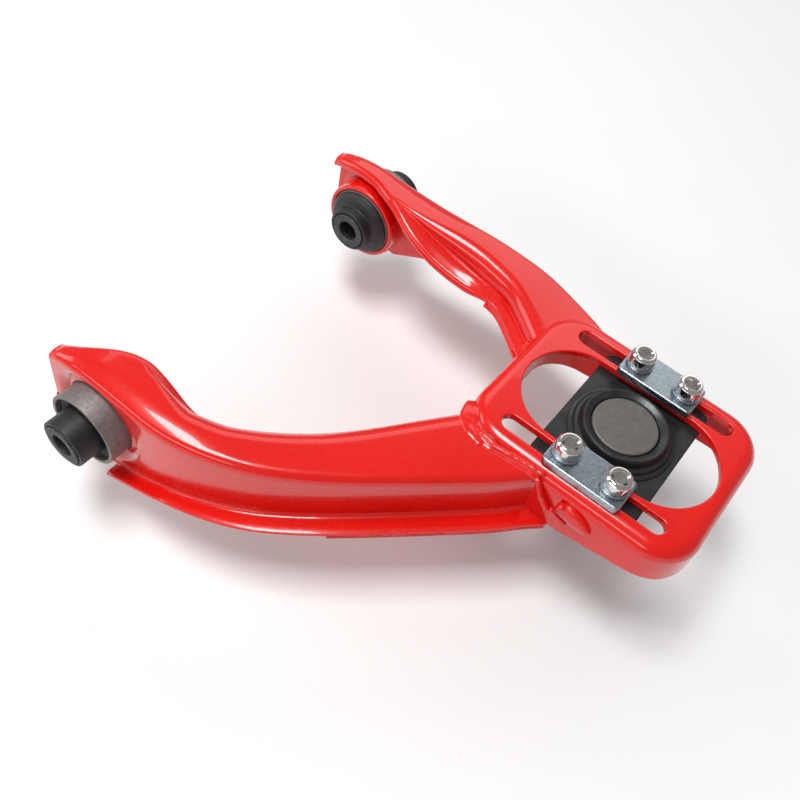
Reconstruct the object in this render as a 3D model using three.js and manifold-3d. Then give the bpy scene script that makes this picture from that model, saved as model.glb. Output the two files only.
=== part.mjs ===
// Adjustable upper control arm of a car's double-wishbone suspension.
//
// Two pressed-steel arms reach from a pair of rubber bushes to a pressed tray. A ball joint on a
// square flange plate hangs under the tray and is clamped through two long slots, so it slides
// along the arm to set the camber of the wheel.
//
// Units are millimetres. The origin is the middle of the pivot axis that runs through both
// bushes, +X points from that axis to the ball joint, +Y runs along the axis towards the bush of
// the short arm, and +Z is up, square to the top of the tray.

import * as THREE from 'three';
import { mergeVertices } from 'three/addons/utils/BufferGeometryUtils.js';
import Module from 'manifold-3d';

const wasm = await Module();
wasm.setup();

// ---------------------------------------------------------------- driving dimensions

const GAP = 0.3; // clearance between pieces that touch in the real object
const SHEET = 3; // thickness of the arm pressings

const BUSH_Y = 103.5; // half the spacing of the two bushes
const BUSH = {
  sleeveLength: 54,
  bore: 6.15,
  sleeveRadius: 10.6,
  rubberNeck: 12.9,
  rubberBody: 17.7,
  shellInner: 18.1,
  shellRadius: 20,
  shellLength: 30,
};
const WEB_Y = 108.3; // outer face of each arm's web where it holds the bush
const COLLAR_INNER = BUSH.shellRadius + GAP;
const COLLAR_OUTER = COLLAR_INNER + 2.7;
const COLLAR_END_Y = BUSH_Y - BUSH.shellLength / 2;

const JOINT = new THREE.Vector3(197.4, 48, 0); // centre line of the ball joint
const BALL_Z = 12.5;
const BALL_RADIUS = 13.5;

const TRAY = {
  left: 131.5,
  right: 257.5,
  near: -3.5,
  far: 99.5,
  top: 27.5,
  corner: 23,
  shoulder: 8,
  sheet: 4.4,
  skirtDeep: -4.5, // lower edge of the skirt at the arm end
  skirtShallow: 3.5, // lower edge of the skirt at the outboard end
};
const SKIRT_FAR = [
  [140, -11],
  [165, -8.5],
  [200, -4],
  [240, -2],
  [260, 2],
]; // lower edge of the far skirt, by x
const WINDOW = { centreX: 195.1, halfLength: 53.5, radius: 29.1 };
const SLOT = { centreX: 194.9, halfLength: 45.3, radius: 4.6, offset: 36.85 };

const FLANGE_PLATE = { halfX: 30.1, halfY: 42.5, thickness: 6, corner: 6 };
const PLATE_TOP = TRAY.top - TRAY.sheet - GAP;
const CLAMP = { halfX: 21.2, halfY: 10.2, thickness: 4.7 };
const SCREW = {
  radius: 3.9,
  headRadius: 6.5,
  headHeight: 7,
  spacing: 26.88,
  length: 19.5,
  socketDepth: 4.6,
  socketCorner: 3.7,
};
const WASHER = { inner: 4.3, outer: 7.2, thickness: 1.6 };
const STACK_GAP = 0.15; // between the flat faces of the clamp, the washers and the heads

// ---------------------------------------------------------------- materials

function paint(colour, roughness, metalness) {
  return new THREE.MeshStandardMaterial({ color: colour, roughness, metalness });
}

const finish = {
  redCoat: () => paint(0xd8170e, 0.22, 0.0),
  bareSteel: () => paint(0x8d8684, 0.55, 0.9),
  zinc: () => paint(0xb9c2c9, 0.35, 1.0),
  chrome: () => paint(0xd9d6d2, 0.12, 1.0),
  blackOxide: () => paint(0x25282a, 0.45, 0.6),
  greyPhosphate: () => paint(0x77736d, 0.6, 0.7),
  rubber: () => paint(0x17181a, 0.7, 0.0),
  polymer: () => paint(0xdedacb, 0.5, 0.0),
  darkSteel: () => paint(0x3b3a3b, 0.5, 0.9),
};

// ---------------------------------------------------------------- solid helpers

function toSolid(geometry) {
  const bare = geometry.index ? geometry.toNonIndexed() : geometry.clone();
  bare.deleteAttribute('normal');
  bare.deleteAttribute('uv');
  const merged = mergeVertices(bare, 1e-4);
  return new wasm.Manifold(
    new wasm.Mesh({
      numProp: 3,
      vertProperties: new Float32Array(merged.attributes.position.array),
      triVerts: new Uint32Array(merged.index.array),
    }),
  );
}

function toGeometry(solid) {
  const mesh = solid.getMesh();
  const geometry = new THREE.BufferGeometry();
  geometry.setAttribute('position', new THREE.BufferAttribute(mesh.vertProperties, 3));
  geometry.setIndex(new THREE.BufferAttribute(mesh.triVerts, 1));
  geometry.computeVertexNormals();
  return geometry;
}

function cut(body, ...tools) {
  return toGeometry(tools.reduce((solid, tool) => solid.subtract(toSolid(tool)), toSolid(body)));
}

function join(body, ...others) {
  return toGeometry(others.reduce((solid, other) => solid.add(toSolid(other)), toSolid(body)));
}

// A round piece turned about Z from [radius, height] pairs that go once round its half section.
function turned(profile, segments = 32) {
  const points = profile.map(([radius, height]) => new THREE.Vector2(radius, height));
  const closed = profile[0][0] > 0;
  if (closed) points.push(points[0].clone());
  return outwards(new THREE.LatheGeometry(points, segments).rotateX(Math.PI / 2));
}

function ring(inner, outer, low, high, segments = 32) {
  return turned(
    [
      [inner, low],
      [outer, low],
      [outer, high],
      [inner, high],
    ],
    segments,
  );
}

function rod(radius, low, high, segments = 28) {
  return new THREE.CylinderGeometry(radius, radius, high - low, segments)
    .rotateX(Math.PI / 2)
    .translate(0, 0, (low + high) / 2);
}

function block(x0, x1, y0, y1, z0, z1) {
  return new THREE.BoxGeometry(x1 - x0, y1 - y0, z1 - z0).translate(
    (x0 + x1) / 2,
    (y0 + y1) / 2,
    (z0 + z1) / 2,
  );
}

function roundedRectangle(x0, x1, y0, y1, radius) {
  const shape = new THREE.Shape();
  shape.absarc(x1 - radius, y0 + radius, radius, -Math.PI / 2, 0);
  shape.absarc(x1 - radius, y1 - radius, radius, 0, Math.PI / 2);
  shape.absarc(x0 + radius, y1 - radius, radius, Math.PI / 2, Math.PI);
  shape.absarc(x0 + radius, y0 + radius, radius, Math.PI, Math.PI * 1.5);
  return shape;
}

function stadium(centreX, centreY, halfLength, radius) {
  const shape = new THREE.Shape();
  shape.absarc(centreX + halfLength - radius, centreY, radius, -Math.PI / 2, Math.PI / 2);
  shape.absarc(centreX - halfLength + radius, centreY, radius, Math.PI / 2, Math.PI * 1.5);
  return shape;
}

function prism(shape, low, high, curveSegments = 8) {
  return new THREE.ExtrudeGeometry(shape, {
    depth: high - low,
    bevelEnabled: false,
    curveSegments,
  }).translate(0, 0, low);
}

// A prism whose upper and lower rims are rounded.
function pillow(shape, low, high, rim, curveSegments = 8, bevelSegments = 2) {
  return new THREE.ExtrudeGeometry(shape, {
    depth: high - low - 2 * rim,
    bevelEnabled: true,
    bevelSize: rim,
    bevelOffset: -rim,
    bevelThickness: rim,
    bevelSegments,
    curveSegments,
  }).translate(0, 0, low + rim);
}

// A closed body through a row of rings. Each ring is a list of Vector3 round a thickened line: up
// one side of the sheet and back down the other, so its ends are capped by a ladder of quads.
function loft(rings) {
  const size = rings[0].length;
  const position = rings.flatMap((points) => points.flatMap((p) => [p.x, p.y, p.z]));
  const index = [];
  const quad = (a, b, c, d) => index.push(a, b, c, a, c, d);
  for (let r = 0; r + 1 < rings.length; r += 1) {
    for (let i = 0; i < size; i += 1) {
      const a = r * size + i;
      const b = r * size + ((i + 1) % size);
      quad(a, b, b + size, a + size);
    }
  }
  const last = (rings.length - 1) * size;
  for (let i = 0; i + 1 < size / 2; i += 1) {
    const j = size - 1 - i;
    quad(i, j, j - 1, i + 1);
    quad(last + i, last + i + 1, last + j - 1, last + j);
  }
  const geometry = new THREE.BufferGeometry();
  geometry.setAttribute('position', new THREE.Float32BufferAttribute(position, 3));
  geometry.setIndex(index);
  return outwards(geometry);
}

// Turns a closed body's faces outwards if they point in.
function outwards(geometry) {
  const { array } = geometry.attributes.position;
  const index = geometry.index.array;
  const [a, b, c] = [new THREE.Vector3(), new THREE.Vector3(), new THREE.Vector3()];
  let volume = 0;
  for (let i = 0; i < index.length; i += 3) {
    a.fromArray(array, index[i] * 3);
    b.fromArray(array, index[i + 1] * 3);
    c.fromArray(array, index[i + 2] * 3);
    volume += a.dot(b.cross(c));
  }
  if (volume < 0) geometry.index.array.reverse();
  return geometry;
}

// ---------------------------------------------------------------- arm pressings

// Values that change along an arm are lists of [x, value], joined by a smooth monotone curve.
function along(table, x) {
  if (x <= table[0][0]) return table[0][1];
  const end = table.length - 1;
  if (x >= table[end][0]) return table[end][1];
  const i = table.findIndex(([place]) => place > x) - 1;
  const slope = (k) => {
    if (k <= 0 || k >= end) return 0;
    const before = (table[k][1] - table[k - 1][1]) / (table[k][0] - table[k - 1][0]);
    const after = (table[k + 1][1] - table[k][1]) / (table[k + 1][0] - table[k][0]);
    return before * after <= 0 ? 0 : (2 * before * after) / (before + after);
  };
  const [x0, y0] = table[i];
  const [x1, y1] = table[i + 1];
  const span = x1 - x0;
  const t = (x - x0) / span;
  const start = slope(i) * span;
  const endSlope = slope(i + 1) * span;
  const t2 = t * t;
  const t3 = t2 * t;
  return (
    (2 * t3 - 3 * t2 + 1) * y0 + (t3 - 2 * t2 + t) * start + (3 * t2 - 2 * t3) * y1
    + (t3 - t2) * endSlope
  );
}

// The lower edge of the web follows a circle round the bush, then the arm's own table.
const WEB_ROUND = 33;

function lowerEdge(arm, x) {
  const free = along(arm.bottom, x);
  if (x > 14) return free;
  return Math.max(-Math.sqrt(Math.max(WEB_ROUND ** 2 - x ** 2, 100)), free - 40);
}

// Each arm's `side` is the sign of its bush's Y. `web` is the distance of the web's outer face from
// the X axis, measured towards that side; `top` and `bottom` are heights. `width` reaches from the
// web to the middle of the step on the inner side, `drop` is the depth of that step, and `tip` is
// where the sheet's inner edge lies. The long arm sweeps inwards to the tray.
const LONG_ARM = {
  side: -1,
  web: [
    [-31, 108.3],
    [28, 108.3],
    [47, 106],
    [60, 102.3],
    [72, 97.6],
    [85, 91],
    [98, 82],
    [113, 70],
    [130, 54.5],
    [150, 35.5],
    [170, 16],
    [192, -5.5],
  ],
  top: [
    [-31, 22],
    [-25, 25.5],
    [-14, 28],
    [0, 29.5],
    [15, 29.5],
    [50, 28],
    [80, 26],
    [120, 25],
    [192, 24.5],
  ],
  bottom: [
    [14, -30],
    [27, -27],
    [41, -21],
    [54, -17.5],
    [80, -13.5],
    [115, -9.5],
    [165, -7],
    [192, -6],
  ],
  flange: [
    [10, 7],
    [27, 5.5],
    [41, 6],
    [54, 7],
    [80, 8.5],
    [115, 9],
  ],
  width: [
    [-31, 4.5],
    [-22, 6],
    [-12, 11.5],
    [-3, 16],
    [10, 18.5],
    [26, 18],
    [45, 17.5],
    [60, 18.5],
    [85, 22.5],
    [105, 25],
    [125, 29],
    [150, 36],
    [192, 44],
  ],
  drop: [
    [8, 0],
    [30, 6],
    [50, 13],
    [192, 14.5],
  ],
  tip: [
    [-31, 6.5],
    [-22, 8.5],
    [-12, 15.5],
    [-3, 20],
    [10, 22.5],
    [26, 24],
    [45, 25],
    [60, 25],
    [85, 29],
    [105, 31.5],
    [125, 35.5],
    [150, 42.5],
    [192, 50.5],
  ],
};

const SHORT_ARM = {
  side: 1,
  web: [
    [-31, 108.8],
    [10, 109.3],
    [47, 110.3],
    [68, 111.6],
    [88, 113],
    [106, 113],
    [120, 111.3],
    [137, 107.2],
    [153, 102.6],
    [170, 97],
  ],
  top: [
    [-31, 22.5],
    [-25, 26],
    [-14, 28.5],
    [0, 30],
    [60, 29],
    [100, 27.5],
    [170, 24.5],
  ],
  bottom: [
    [14, -31],
    [27, -24.5],
    [41, -18],
    [54, -13.5],
    [80, -11],
    [115, -8],
    [170, -5],
  ],
  flange: [
    [10, 9],
    [170, 9],
  ],
  width: [
    [-31, 4.5],
    [-24, 6],
    [-13, 7],
    [6, 10],
    [22, 16],
    [40, 17.5],
    [60, 18],
    [80, 20],
    [98, 23],
    [114, 27],
    [130, 32],
    [170, 44],
  ],
  drop: [
    [16, 0],
    [35, 3],
    [55, 8],
    [75, 11],
    [170, 9],
  ],
  tip: [
    [-31, 6.5],
    [-24, 8.5],
    [-13, 10.5],
    [6, 14.5],
    [22, 22.5],
    [32, 27],
    [42, 30],
    [60, 32],
    [80, 32.5],
    [98, 34],
    [114, 37.5],
    [130, 42.5],
    [170, 55],
  ],
};

const FLANGE_START = 10; // x where the outward flange of an arm begins
const FLANGE_WIDTH = 9;
const SHOULDER = 6.5; // radius between web and top, on the middle of the sheet
const FOOT = 4; // radius between web and flange

const STEP_POINTS = 4;
const stepHalfWidth = (width) => Math.min(4.5, width * 0.22);

// Middle line of the sheet at x, as Vector2 (inwards from the web's outer face, height).
function sheetLine(arm, x) {
  const half = SHEET / 2;
  const top = along(arm.top, x) - half;
  const bottom = lowerEdge(arm, x) + half;
  const width = along(arm.width, x);
  const foot = x < FLANGE_START ? 0.4 : FOOT;
  const reach = x < FLANGE_START ? 0.8 : along(arm.flange, x) + half;
  const shoulder = Math.min(SHOULDER, width * 0.45);
  const points = [new THREE.Vector2(half - reach, bottom)];
  const arc = (x0, z0, radius, from, to, steps) => {
    for (let i = 0; i <= steps; i += 1) {
      const angle = from + ((to - from) * i) / steps;
      points.push(new THREE.Vector2(x0 + radius * Math.cos(angle), z0 + radius * Math.sin(angle)));
    }
  };
  arc(half - foot, bottom + foot, foot, -Math.PI / 2, 0, 2);
  arc(half + shoulder, top - shoulder, shoulder, Math.PI, Math.PI / 2, 3);
  const drop = along(arm.drop, x);
  const ease = stepHalfWidth(width);
  for (let i = 0; i <= STEP_POINTS; i += 1) {
    const t = i / STEP_POINTS;
    const fall = t * t * (3 - 2 * t);
    points.push(new THREE.Vector2(width - ease + 2 * ease * t, top - drop * fall));
  }
  points.push(new THREE.Vector2(along(arm.tip, x), top - drop));
  return points;
}

// Thickens a middle line to a closed outline by half a thickness each way.
function thicken(line, thickness) {
  const normal = line.map((point, i) => {
    const before = line[Math.max(i - 1, 0)];
    const after = line[Math.min(i + 1, line.length - 1)];
    const tangent = after.clone().sub(before).normalize();
    return new THREE.Vector2(-tangent.y, tangent.x);
  });
  const upper = line.map((p, i) => p.clone().addScaledVector(normal[i], thickness / 2));
  const lower = line.map((p, i) => p.clone().addScaledVector(normal[i], -thickness / 2));
  return [...upper, ...lower.reverse()];
}

// Plan position and inward direction of the web at x.
function webFrame(arm, x) {
  const step = 0.5;
  const slope = (along(arm.web, x + step) - along(arm.web, x - step)) / (2 * step);
  const inwards = new THREE.Vector3(slope, -1, 0).normalize();
  inwards.y *= arm.side;
  return { origin: new THREE.Vector3(x, arm.side * along(arm.web, x), 0), inwards };
}

function sweepSheet(arm, stations, lineAt, thickness) {
  return loft(stations.map((x) => {
    const { origin, inwards } = webFrame(arm, x);
    const outline = thicken(lineAt(x), thickness);
    return outline.map((p) => origin.clone().addScaledVector(inwards, p.x).setZ(p.y));
  }));
}

function armShell(arm, stations, trayBlank) {
  const collar = turned([
    [COLLAR_INNER, 0],
    [COLLAR_OUTER, 0],
    [COLLAR_OUTER, WEB_Y - COLLAR_END_Y - SHEET - 4],
    [COLLAR_OUTER + 1.2, WEB_Y - COLLAR_END_Y - SHEET - 1.2],
    [COLLAR_OUTER + 4, WEB_Y - COLLAR_END_Y - SHEET + 0.6],
    [COLLAR_OUTER + 4, WEB_Y - COLLAR_END_Y - 0.4],
    [COLLAR_INNER, WEB_Y - COLLAR_END_Y - 0.4],
  ]);
  const towardsWeb = arm.side > 0 ? -Math.PI / 2 : Math.PI / 2;
  collar.rotateX(towardsWeb).translate(0, arm.side * COLLAR_END_Y, 0);
  const bore = rod(COLLAR_INNER, -40, 40, 40).rotateX(Math.PI / 2);
  bore.translate(0, arm.side * (WEB_Y + 10), 0);
  const sheet = sweepSheet(arm, stations, (x) => sheetLine(arm, x), SHEET);
  return toGeometry(
    toSolid(cut(sheet, bore))
      .add(toSolid(collar))
      .subtract(toSolid(trayBlank)),
  );
}

// The floor that closes the open side of an arm near the tray.
function floorLine(arm, x) {
  const half = SHEET / 2;
  const under = SHEET + GAP;
  const bottom = lowerEdge(arm, x) + half - under;
  const ledge = along(arm.top, x) - half - along(arm.drop, x) - under;
  const tip = along(arm.tip, x) + 1.2;
  return [
    new THREE.Vector2(half - FLANGE_WIDTH - 1.2, bottom),
    new THREE.Vector2(1, bottom),
    new THREE.Vector2(4, bottom + 0.8),
    new THREE.Vector2(tip - 12, ledge - 1.6),
    new THREE.Vector2(tip - 8, ledge),
    new THREE.Vector2(tip, ledge),
  ];
}

function closingPlate(arm, stations, trayBlank) {
  const plate = sweepSheet(arm, stations, (x) => floorLine(arm, x), SHEET - 0.4);
  return cut(plate, trayBlank);
}

function range(from, to, count) {
  return Array.from({ length: count }, (_, i) => from + ((to - from) * i) / (count - 1));
}

// ---------------------------------------------------------------- ball-joint tray

function trayEnvelope(offset, low, shoulder, curveSegments, bevelSegments) {
  const outline = roundedRectangle(
    TRAY.left - offset,
    TRAY.right + offset,
    TRAY.near - offset,
    TRAY.far + offset,
    TRAY.corner + offset,
  );
  return pillow(outline, low, TRAY.top + offset, shoulder, curveSegments, bevelSegments);
}

// Height of the skirt's lower edge: shallow outboard, and deeper at the far side than at the near.
function skirtEdge(x, y) {
  const rise = THREE.MathUtils.clamp((x - JOINT.x) / 40, 0, 1);
  const near = THREE.MathUtils.lerp(TRAY.skirtDeep, TRAY.skirtShallow, rise);
  const far = along(SKIRT_FAR, x);
  return THREE.MathUtils.lerp(near, far, THREE.MathUtils.smoothstep(y, TRAY.near + 10, TRAY.far - 15));
}

function ballJointTray() {
  const outer = trayEnvelope(0, -30, TRAY.shoulder, 6, 4);
  const inner = trayEnvelope(-TRAY.sheet, -40, TRAY.shoulder - TRAY.sheet, 6, 2);
  const window = prism(
    stadium(WINDOW.centreX, JOINT.y, WINDOW.halfLength, WINDOW.radius),
    0,
    60,
    16,
  );
  const slots = [-1, 1].map((side) => prism(
    stadium(SLOT.centreX, JOINT.y + side * SLOT.offset, SLOT.halfLength, SLOT.radius),
    10,
    60,
    8,
  ));
  const below = new THREE.BoxGeometry(170, 140, 60, 34, 14, 1).translate(JOINT.x, JOINT.y, -30);
  const place = below.attributes.position;
  for (let i = 0; i < place.count; i += 1) {
    if (place.getZ(i) > -30) place.setZ(i, skirtEdge(place.getX(i), place.getY(i)));
  }
  return cut(outer, inner, window, ...slots, below);
}

const GUSSET = { thickness: 3.4, rim: 0.9 };

// A small tongue against the near skirt, drawn in x and height.
function gussetTab() {
  const shape = new THREE.Shape();
  shape.moveTo(193.5, 13.5);
  shape.quadraticCurveTo(196, 20.5, 201, 20.3);
  shape.quadraticCurveTo(209, 18.5, 214.5, 11.5);
  shape.lineTo(205, 9.2);
  shape.closePath();
  return pillow(shape, 0, GUSSET.thickness, GUSSET.rim, 5, 2)
    .rotateX(Math.PI / 2)
    .translate(0, TRAY.near - GAP, 0);
}

// ---------------------------------------------------------------- bushes

const bushParts = {
  inner_sleeve: () => turned([
    [BUSH.bore, -BUSH.sleeveLength / 2],
    [BUSH.sleeveRadius, -BUSH.sleeveLength / 2],
    [BUSH.sleeveRadius, BUSH.sleeveLength / 2],
    [BUSH.bore, BUSH.sleeveLength / 2],
  ], 32),
  rubber: () => turned([
    [BUSH.sleeveRadius + GAP, -26.2],
    [BUSH.rubberNeck, -26.2],
    [BUSH.rubberNeck, -11],
    [BUSH.rubberBody, -8.5],
    [BUSH.rubberBody, 17],
    [BUSH.rubberBody - 0.8, 19.5],
    [BUSH.rubberNeck, 20.5],
    [BUSH.rubberNeck, 26.2],
    [BUSH.sleeveRadius + GAP, 26.2],
  ]),
  outer_sleeve: () => ring(
    BUSH.shellInner,
    BUSH.shellRadius,
    -BUSH.shellLength / 2,
    BUSH.shellLength / 2,
  ),
};

// ---------------------------------------------------------------- ball joint

const CUP = {
  inner: 17,
  outer: 21.4,
  bottom: 1.6,
  mouth: 14.6,
  rimTop: 30.6,
  lipInner: 17.2,
};
const COVER = { low: 27.4, high: 29.5 }; // the disc inside the crimped rim
const PRELOAD = { inner: 9, low: 25.4, high: 26.6 }; // the spring washer below it

function jointHousing() {
  const plate = pillow(
    roundedRectangle(
      -FLANGE_PLATE.halfX,
      FLANGE_PLATE.halfX,
      -FLANGE_PLATE.halfY,
      FLANGE_PLATE.halfY,
      FLANGE_PLATE.corner,
    ),
    PLATE_TOP - FLANGE_PLATE.thickness,
    PLATE_TOP,
    0.5,
    3,
    1,
  );
  const cup = turned([
    [CUP.mouth, CUP.bottom],
    [19.2, CUP.bottom],
    [19.2, CUP.bottom + 5.5],
    [CUP.outer, CUP.bottom + 7],
    [CUP.outer + 4, PLATE_TOP - 3],
    [27.6, PLATE_TOP - 1],
    [27.6, PLATE_TOP + 1.6],
    [25.2, PLATE_TOP + 2.2],
    [24.8, PLATE_TOP + 4],
    [CUP.outer + 0.2, PLATE_TOP + 4.6],
    [CUP.outer + 0.5, CUP.rimTop - 1.2],
    [CUP.outer - 0.7, CUP.rimTop],
    [CUP.lipInner + 1.2, CUP.rimTop],
    [CUP.lipInner, CUP.rimTop - 1],
    [CUP.lipInner, CUP.rimTop - 3.5],
    [CUP.inner, CUP.rimTop - 3.6],
    [CUP.inner, CUP.bottom + 2.4],
  ], 36);
  const core = rod(CUP.inner + 1, 0, 40, 36);
  const holes = [];
  for (const sx of [-1, 1]) {
    for (const sy of [-1, 1]) {
      const hole = rod(SCREW.radius + GAP, 0, 40, 16);
      holes.push(hole.translate((sx * SCREW.spacing) / 2, sy * SLOT.offset, 0));
    }
  }
  return join(cut(plate, core, ...holes), cup);
}

// Points of a sphere's half section about BALL_Z, by angle up from straight down.
function sphereArc(radius, fromDegrees, toDegrees, steps) {
  return Array.from({ length: steps + 1 }, (_, i) => {
    const angle = THREE.MathUtils.degToRad(fromDegrees + ((toDegrees - fromDegrees) * i) / steps);
    return [radius * Math.sin(angle), BALL_Z - radius * Math.cos(angle)];
  });
}

const SEAT_OUTER = CUP.inner - GAP;

function lowerSeat() {
  const arc = sphereArc(BALL_RADIUS + GAP, 55, 89, 5);
  return turned([
    ...arc,
    [SEAT_OUTER, arc[arc.length - 1][1]],
    [SEAT_OUTER, CUP.bottom + 2.4 + GAP],
    [14, CUP.bottom + 2.4 + GAP],
  ]);
}

function upperSeat() {
  const arc = sphereArc(BALL_RADIUS + GAP, 92, 140, 6);
  const top = arc[arc.length - 1];
  return turned([
    [SEAT_OUTER, arc[0][1]],
    [SEAT_OUTER, 25],
    [top[0] + 0.6, 25],
    ...arc.reverse(),
  ]);
}

const STUD = {
  neck: 5.6,
  shoulderZ: -20,
  taperTop: 7.6,
  taperBottomZ: -39,
  taperBottom: 6,
  tipZ: -59,
};

function ballStud() {
  return cut(turned([
    [0, STUD.tipZ],
    [STUD.taperBottom - 1.2, STUD.tipZ],
    [STUD.taperBottom - 0.1, STUD.tipZ + 1.2],
    [STUD.taperBottom - 0.1, STUD.taperBottomZ],
    [STUD.taperTop, STUD.shoulderZ],
    [STUD.taperTop - 0.6, STUD.shoulderZ + 1.5],
    [STUD.neck, STUD.shoulderZ + 9],
    [STUD.neck, BALL_Z - 12.4],
    ...sphereArc(BALL_RADIUS, 27, 138, 9),
    [0, BALL_Z - BALL_RADIUS * Math.cos(THREE.MathUtils.degToRad(138))],
  ], 28), rod(1.8, -20, 20, 10).rotateY(Math.PI / 2).translate(0, 0, COTTER_Z));
}

const NUT = { across: 18.5, topZ: -41, bottomZ: -56 };
const COTTER_Z = -52.4;

function castleNut() {
  const body = new THREE.CylinderGeometry(
    NUT.across / Math.sqrt(3),
    NUT.across / Math.sqrt(3),
    NUT.topZ - NUT.bottomZ - 6,
    6,
  ).rotateX(Math.PI / 2).translate(0, 0, (NUT.topZ + NUT.bottomZ + 6) / 2);
  const crown = rod(8.6, NUT.bottomZ, NUT.bottomZ + 7, 24);
  const notches = [0, 1, 2].map((k) => block(-20, 20, -2, 2, NUT.bottomZ - 1, NUT.bottomZ + 6)
    .rotateZ((k * Math.PI) / 3));
  return cut(join(body, crown), rod(STUD.taperBottom + GAP - 0.1, -90, 0, 24), ...notches);
}

// A split pin through the stud, with its eye on one side and its legs bent back on the other.
function cotterPin() {
  const path = new THREE.CatmullRomCurve3([
    new THREE.Vector3(-11.5, 0, 0),
    new THREE.Vector3(-8, 0, 0),
    new THREE.Vector3(0, 0, 0),
    new THREE.Vector3(8, 0, 0),
    new THREE.Vector3(11.6, 0, -0.8),
    new THREE.Vector3(12.4, 0, -4),
    new THREE.Vector3(12.2, 0, -8),
  ]);
  const section = new THREE.Shape();
  section.absarc(0, 0, 1.4, 0, Math.PI * 2);
  const pin = new THREE.ExtrudeGeometry(section, {
    steps: 14,
    bevelEnabled: false,
    extrudePath: path,
    curveSegments: 6,
  });
  const eye = new THREE.TorusGeometry(2.6, 1.3, 6, 12).rotateX(Math.PI / 2).translate(-13.6, 0, 0);
  return join(pin, eye).translate(0, 0, COTTER_Z);
}

// The boot is a thin bellows, held by a ring on the housing and a ring on the stud.
const BOOT = {
  topZ: 6.6,
  bottomZ: -18.4,
  upperRing: { inner: 21.7, outer: 22.7, low: 3, high: 5.6 },
  lowerRing: { inner: 10.9, outer: 11.8, low: -18, high: -16.2 },
};

function bootRing(size) {
  return ring(size.inner, size.outer, size.low, size.high, 36);
}

function dustBoot() {
  const outer = [
    [21.2, BOOT.topZ],
    [21.4, 3.4],
    [21, 1],
    [22.6, -2],
    [22.9, -5.5],
    [21.4, -9],
    [17.4, -12.4],
    [12.6, -14.6],
    [10.6, -15.6],
    [10.6, BOOT.bottomZ],
  ];
  const inner = [
    [9, BOOT.bottomZ],
    [9, -14.6],
    [11.8, -13.2],
    [16.4, -11],
    [20, -8],
    [21.2, -5.2],
    [20.9, -2.4],
    [19.6, -0.2],
    [19.6, BOOT.topZ],
  ];
  return turned([...outer, ...inner], 32);
}

// ---------------------------------------------------------------- clamps and screws

function clampPlate(side) {
  const low = TRAY.top + STACK_GAP;
  const body = pillow(
    roundedRectangle(-CLAMP.halfX, CLAMP.halfX, -CLAMP.halfY, CLAMP.halfY, 2.4),
    low,
    low + CLAMP.thickness,
    0.7,
    2,
    1,
  );
  const holes = [-1, 1].map((end) => rod(SCREW.radius + GAP + 0.2, 0, 60, 16)
    .translate((end * SCREW.spacing) / 2, 0, 0));
  return cut(body, ...holes).translate(0, side * SLOT.offset, 0);
}

const WASHER_LOW = TRAY.top + STACK_GAP + CLAMP.thickness + STACK_GAP;
const HEAD_LOW = WASHER_LOW + WASHER.thickness + STACK_GAP;

// A spring washer is a ring with one narrow split.
function lockWasher() {
  const low = WASHER_LOW;
  const washer = ring(WASHER.inner, WASHER.outer, low, low + WASHER.thickness, 24);
  return cut(washer, block(0, 20, -0.5, 0.5, low - 1, low + 5));
}

function capScrew() {
  const top = HEAD_LOW + SCREW.headHeight;
  const body = turned([
    [0, HEAD_LOW - SCREW.length],
    [SCREW.radius - 0.7, HEAD_LOW - SCREW.length],
    [SCREW.radius, HEAD_LOW - SCREW.length + 0.8],
    [SCREW.radius, HEAD_LOW],
    [SCREW.headRadius, HEAD_LOW],
    [SCREW.headRadius, top - 0.8],
    [SCREW.headRadius - 0.8, top],
    [0, top],
  ], 20);
  const socket = new THREE.CylinderGeometry(SCREW.socketCorner, SCREW.socketCorner, 10, 6)
    .rotateX(Math.PI / 2)
    .translate(0, 0, top - SCREW.socketDepth + 5);
  return cut(body, socket);
}

// ---------------------------------------------------------------- assembly

const arm = new THREE.Group();

function add(name, geometry, material, parent = arm) {
  const mesh = new THREE.Mesh(geometry, material);
  mesh.name = name;
  parent.add(mesh);
  return mesh;
}

const trayBlank = trayEnvelope(GAP, -80, TRAY.shoulder + GAP, 6, 4);
const BUSH_STATIONS = [-31, -29, -26, -21, -14, -6, 2, 9.9, 10.1];
const longStations = [...BUSH_STATIONS, ...range(14, 192, 22)];
const shortStations = [...BUSH_STATIONS, ...range(14, 170, 18)];

add('long_arm_pressing', armShell(LONG_ARM, longStations, trayBlank), finish.redCoat());
add('short_arm_pressing', armShell(SHORT_ARM, shortStations, trayBlank), finish.redCoat());
add(
  'long_arm_closing_plate',
  closingPlate(LONG_ARM, range(112, 192, 9), trayBlank),
  finish.redCoat(),
);
add(
  'short_arm_closing_plate',
  closingPlate(SHORT_ARM, range(96, 166, 8), trayBlank),
  finish.redCoat(),
);
add('ball_joint_tray', ballJointTray(), finish.redCoat());
add('skirt_gusset_tab', gussetTab(), finish.redCoat());

for (const [sideName, side] of [['long_arm', -1], ['short_arm', 1]]) {
  const bush = new THREE.Group();
  // each bush's own +Z is laid along Y, pointing to the inside of the fork
  bush.position.set(0, side * BUSH_Y, 0);
  bush.rotation.x = (side * Math.PI) / 2;
  arm.add(bush);
  add(`${sideName}_bush_outer_sleeve`, bushParts.outer_sleeve(), finish.bareSteel(), bush);
  add(`${sideName}_bush_rubber`, bushParts.rubber(), finish.rubber(), bush);
  add(`${sideName}_bush_inner_sleeve`, bushParts.inner_sleeve(), finish.darkSteel(), bush);
}

const carriage = new THREE.Group();
carriage.position.copy(JOINT);
arm.add(carriage);

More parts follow.
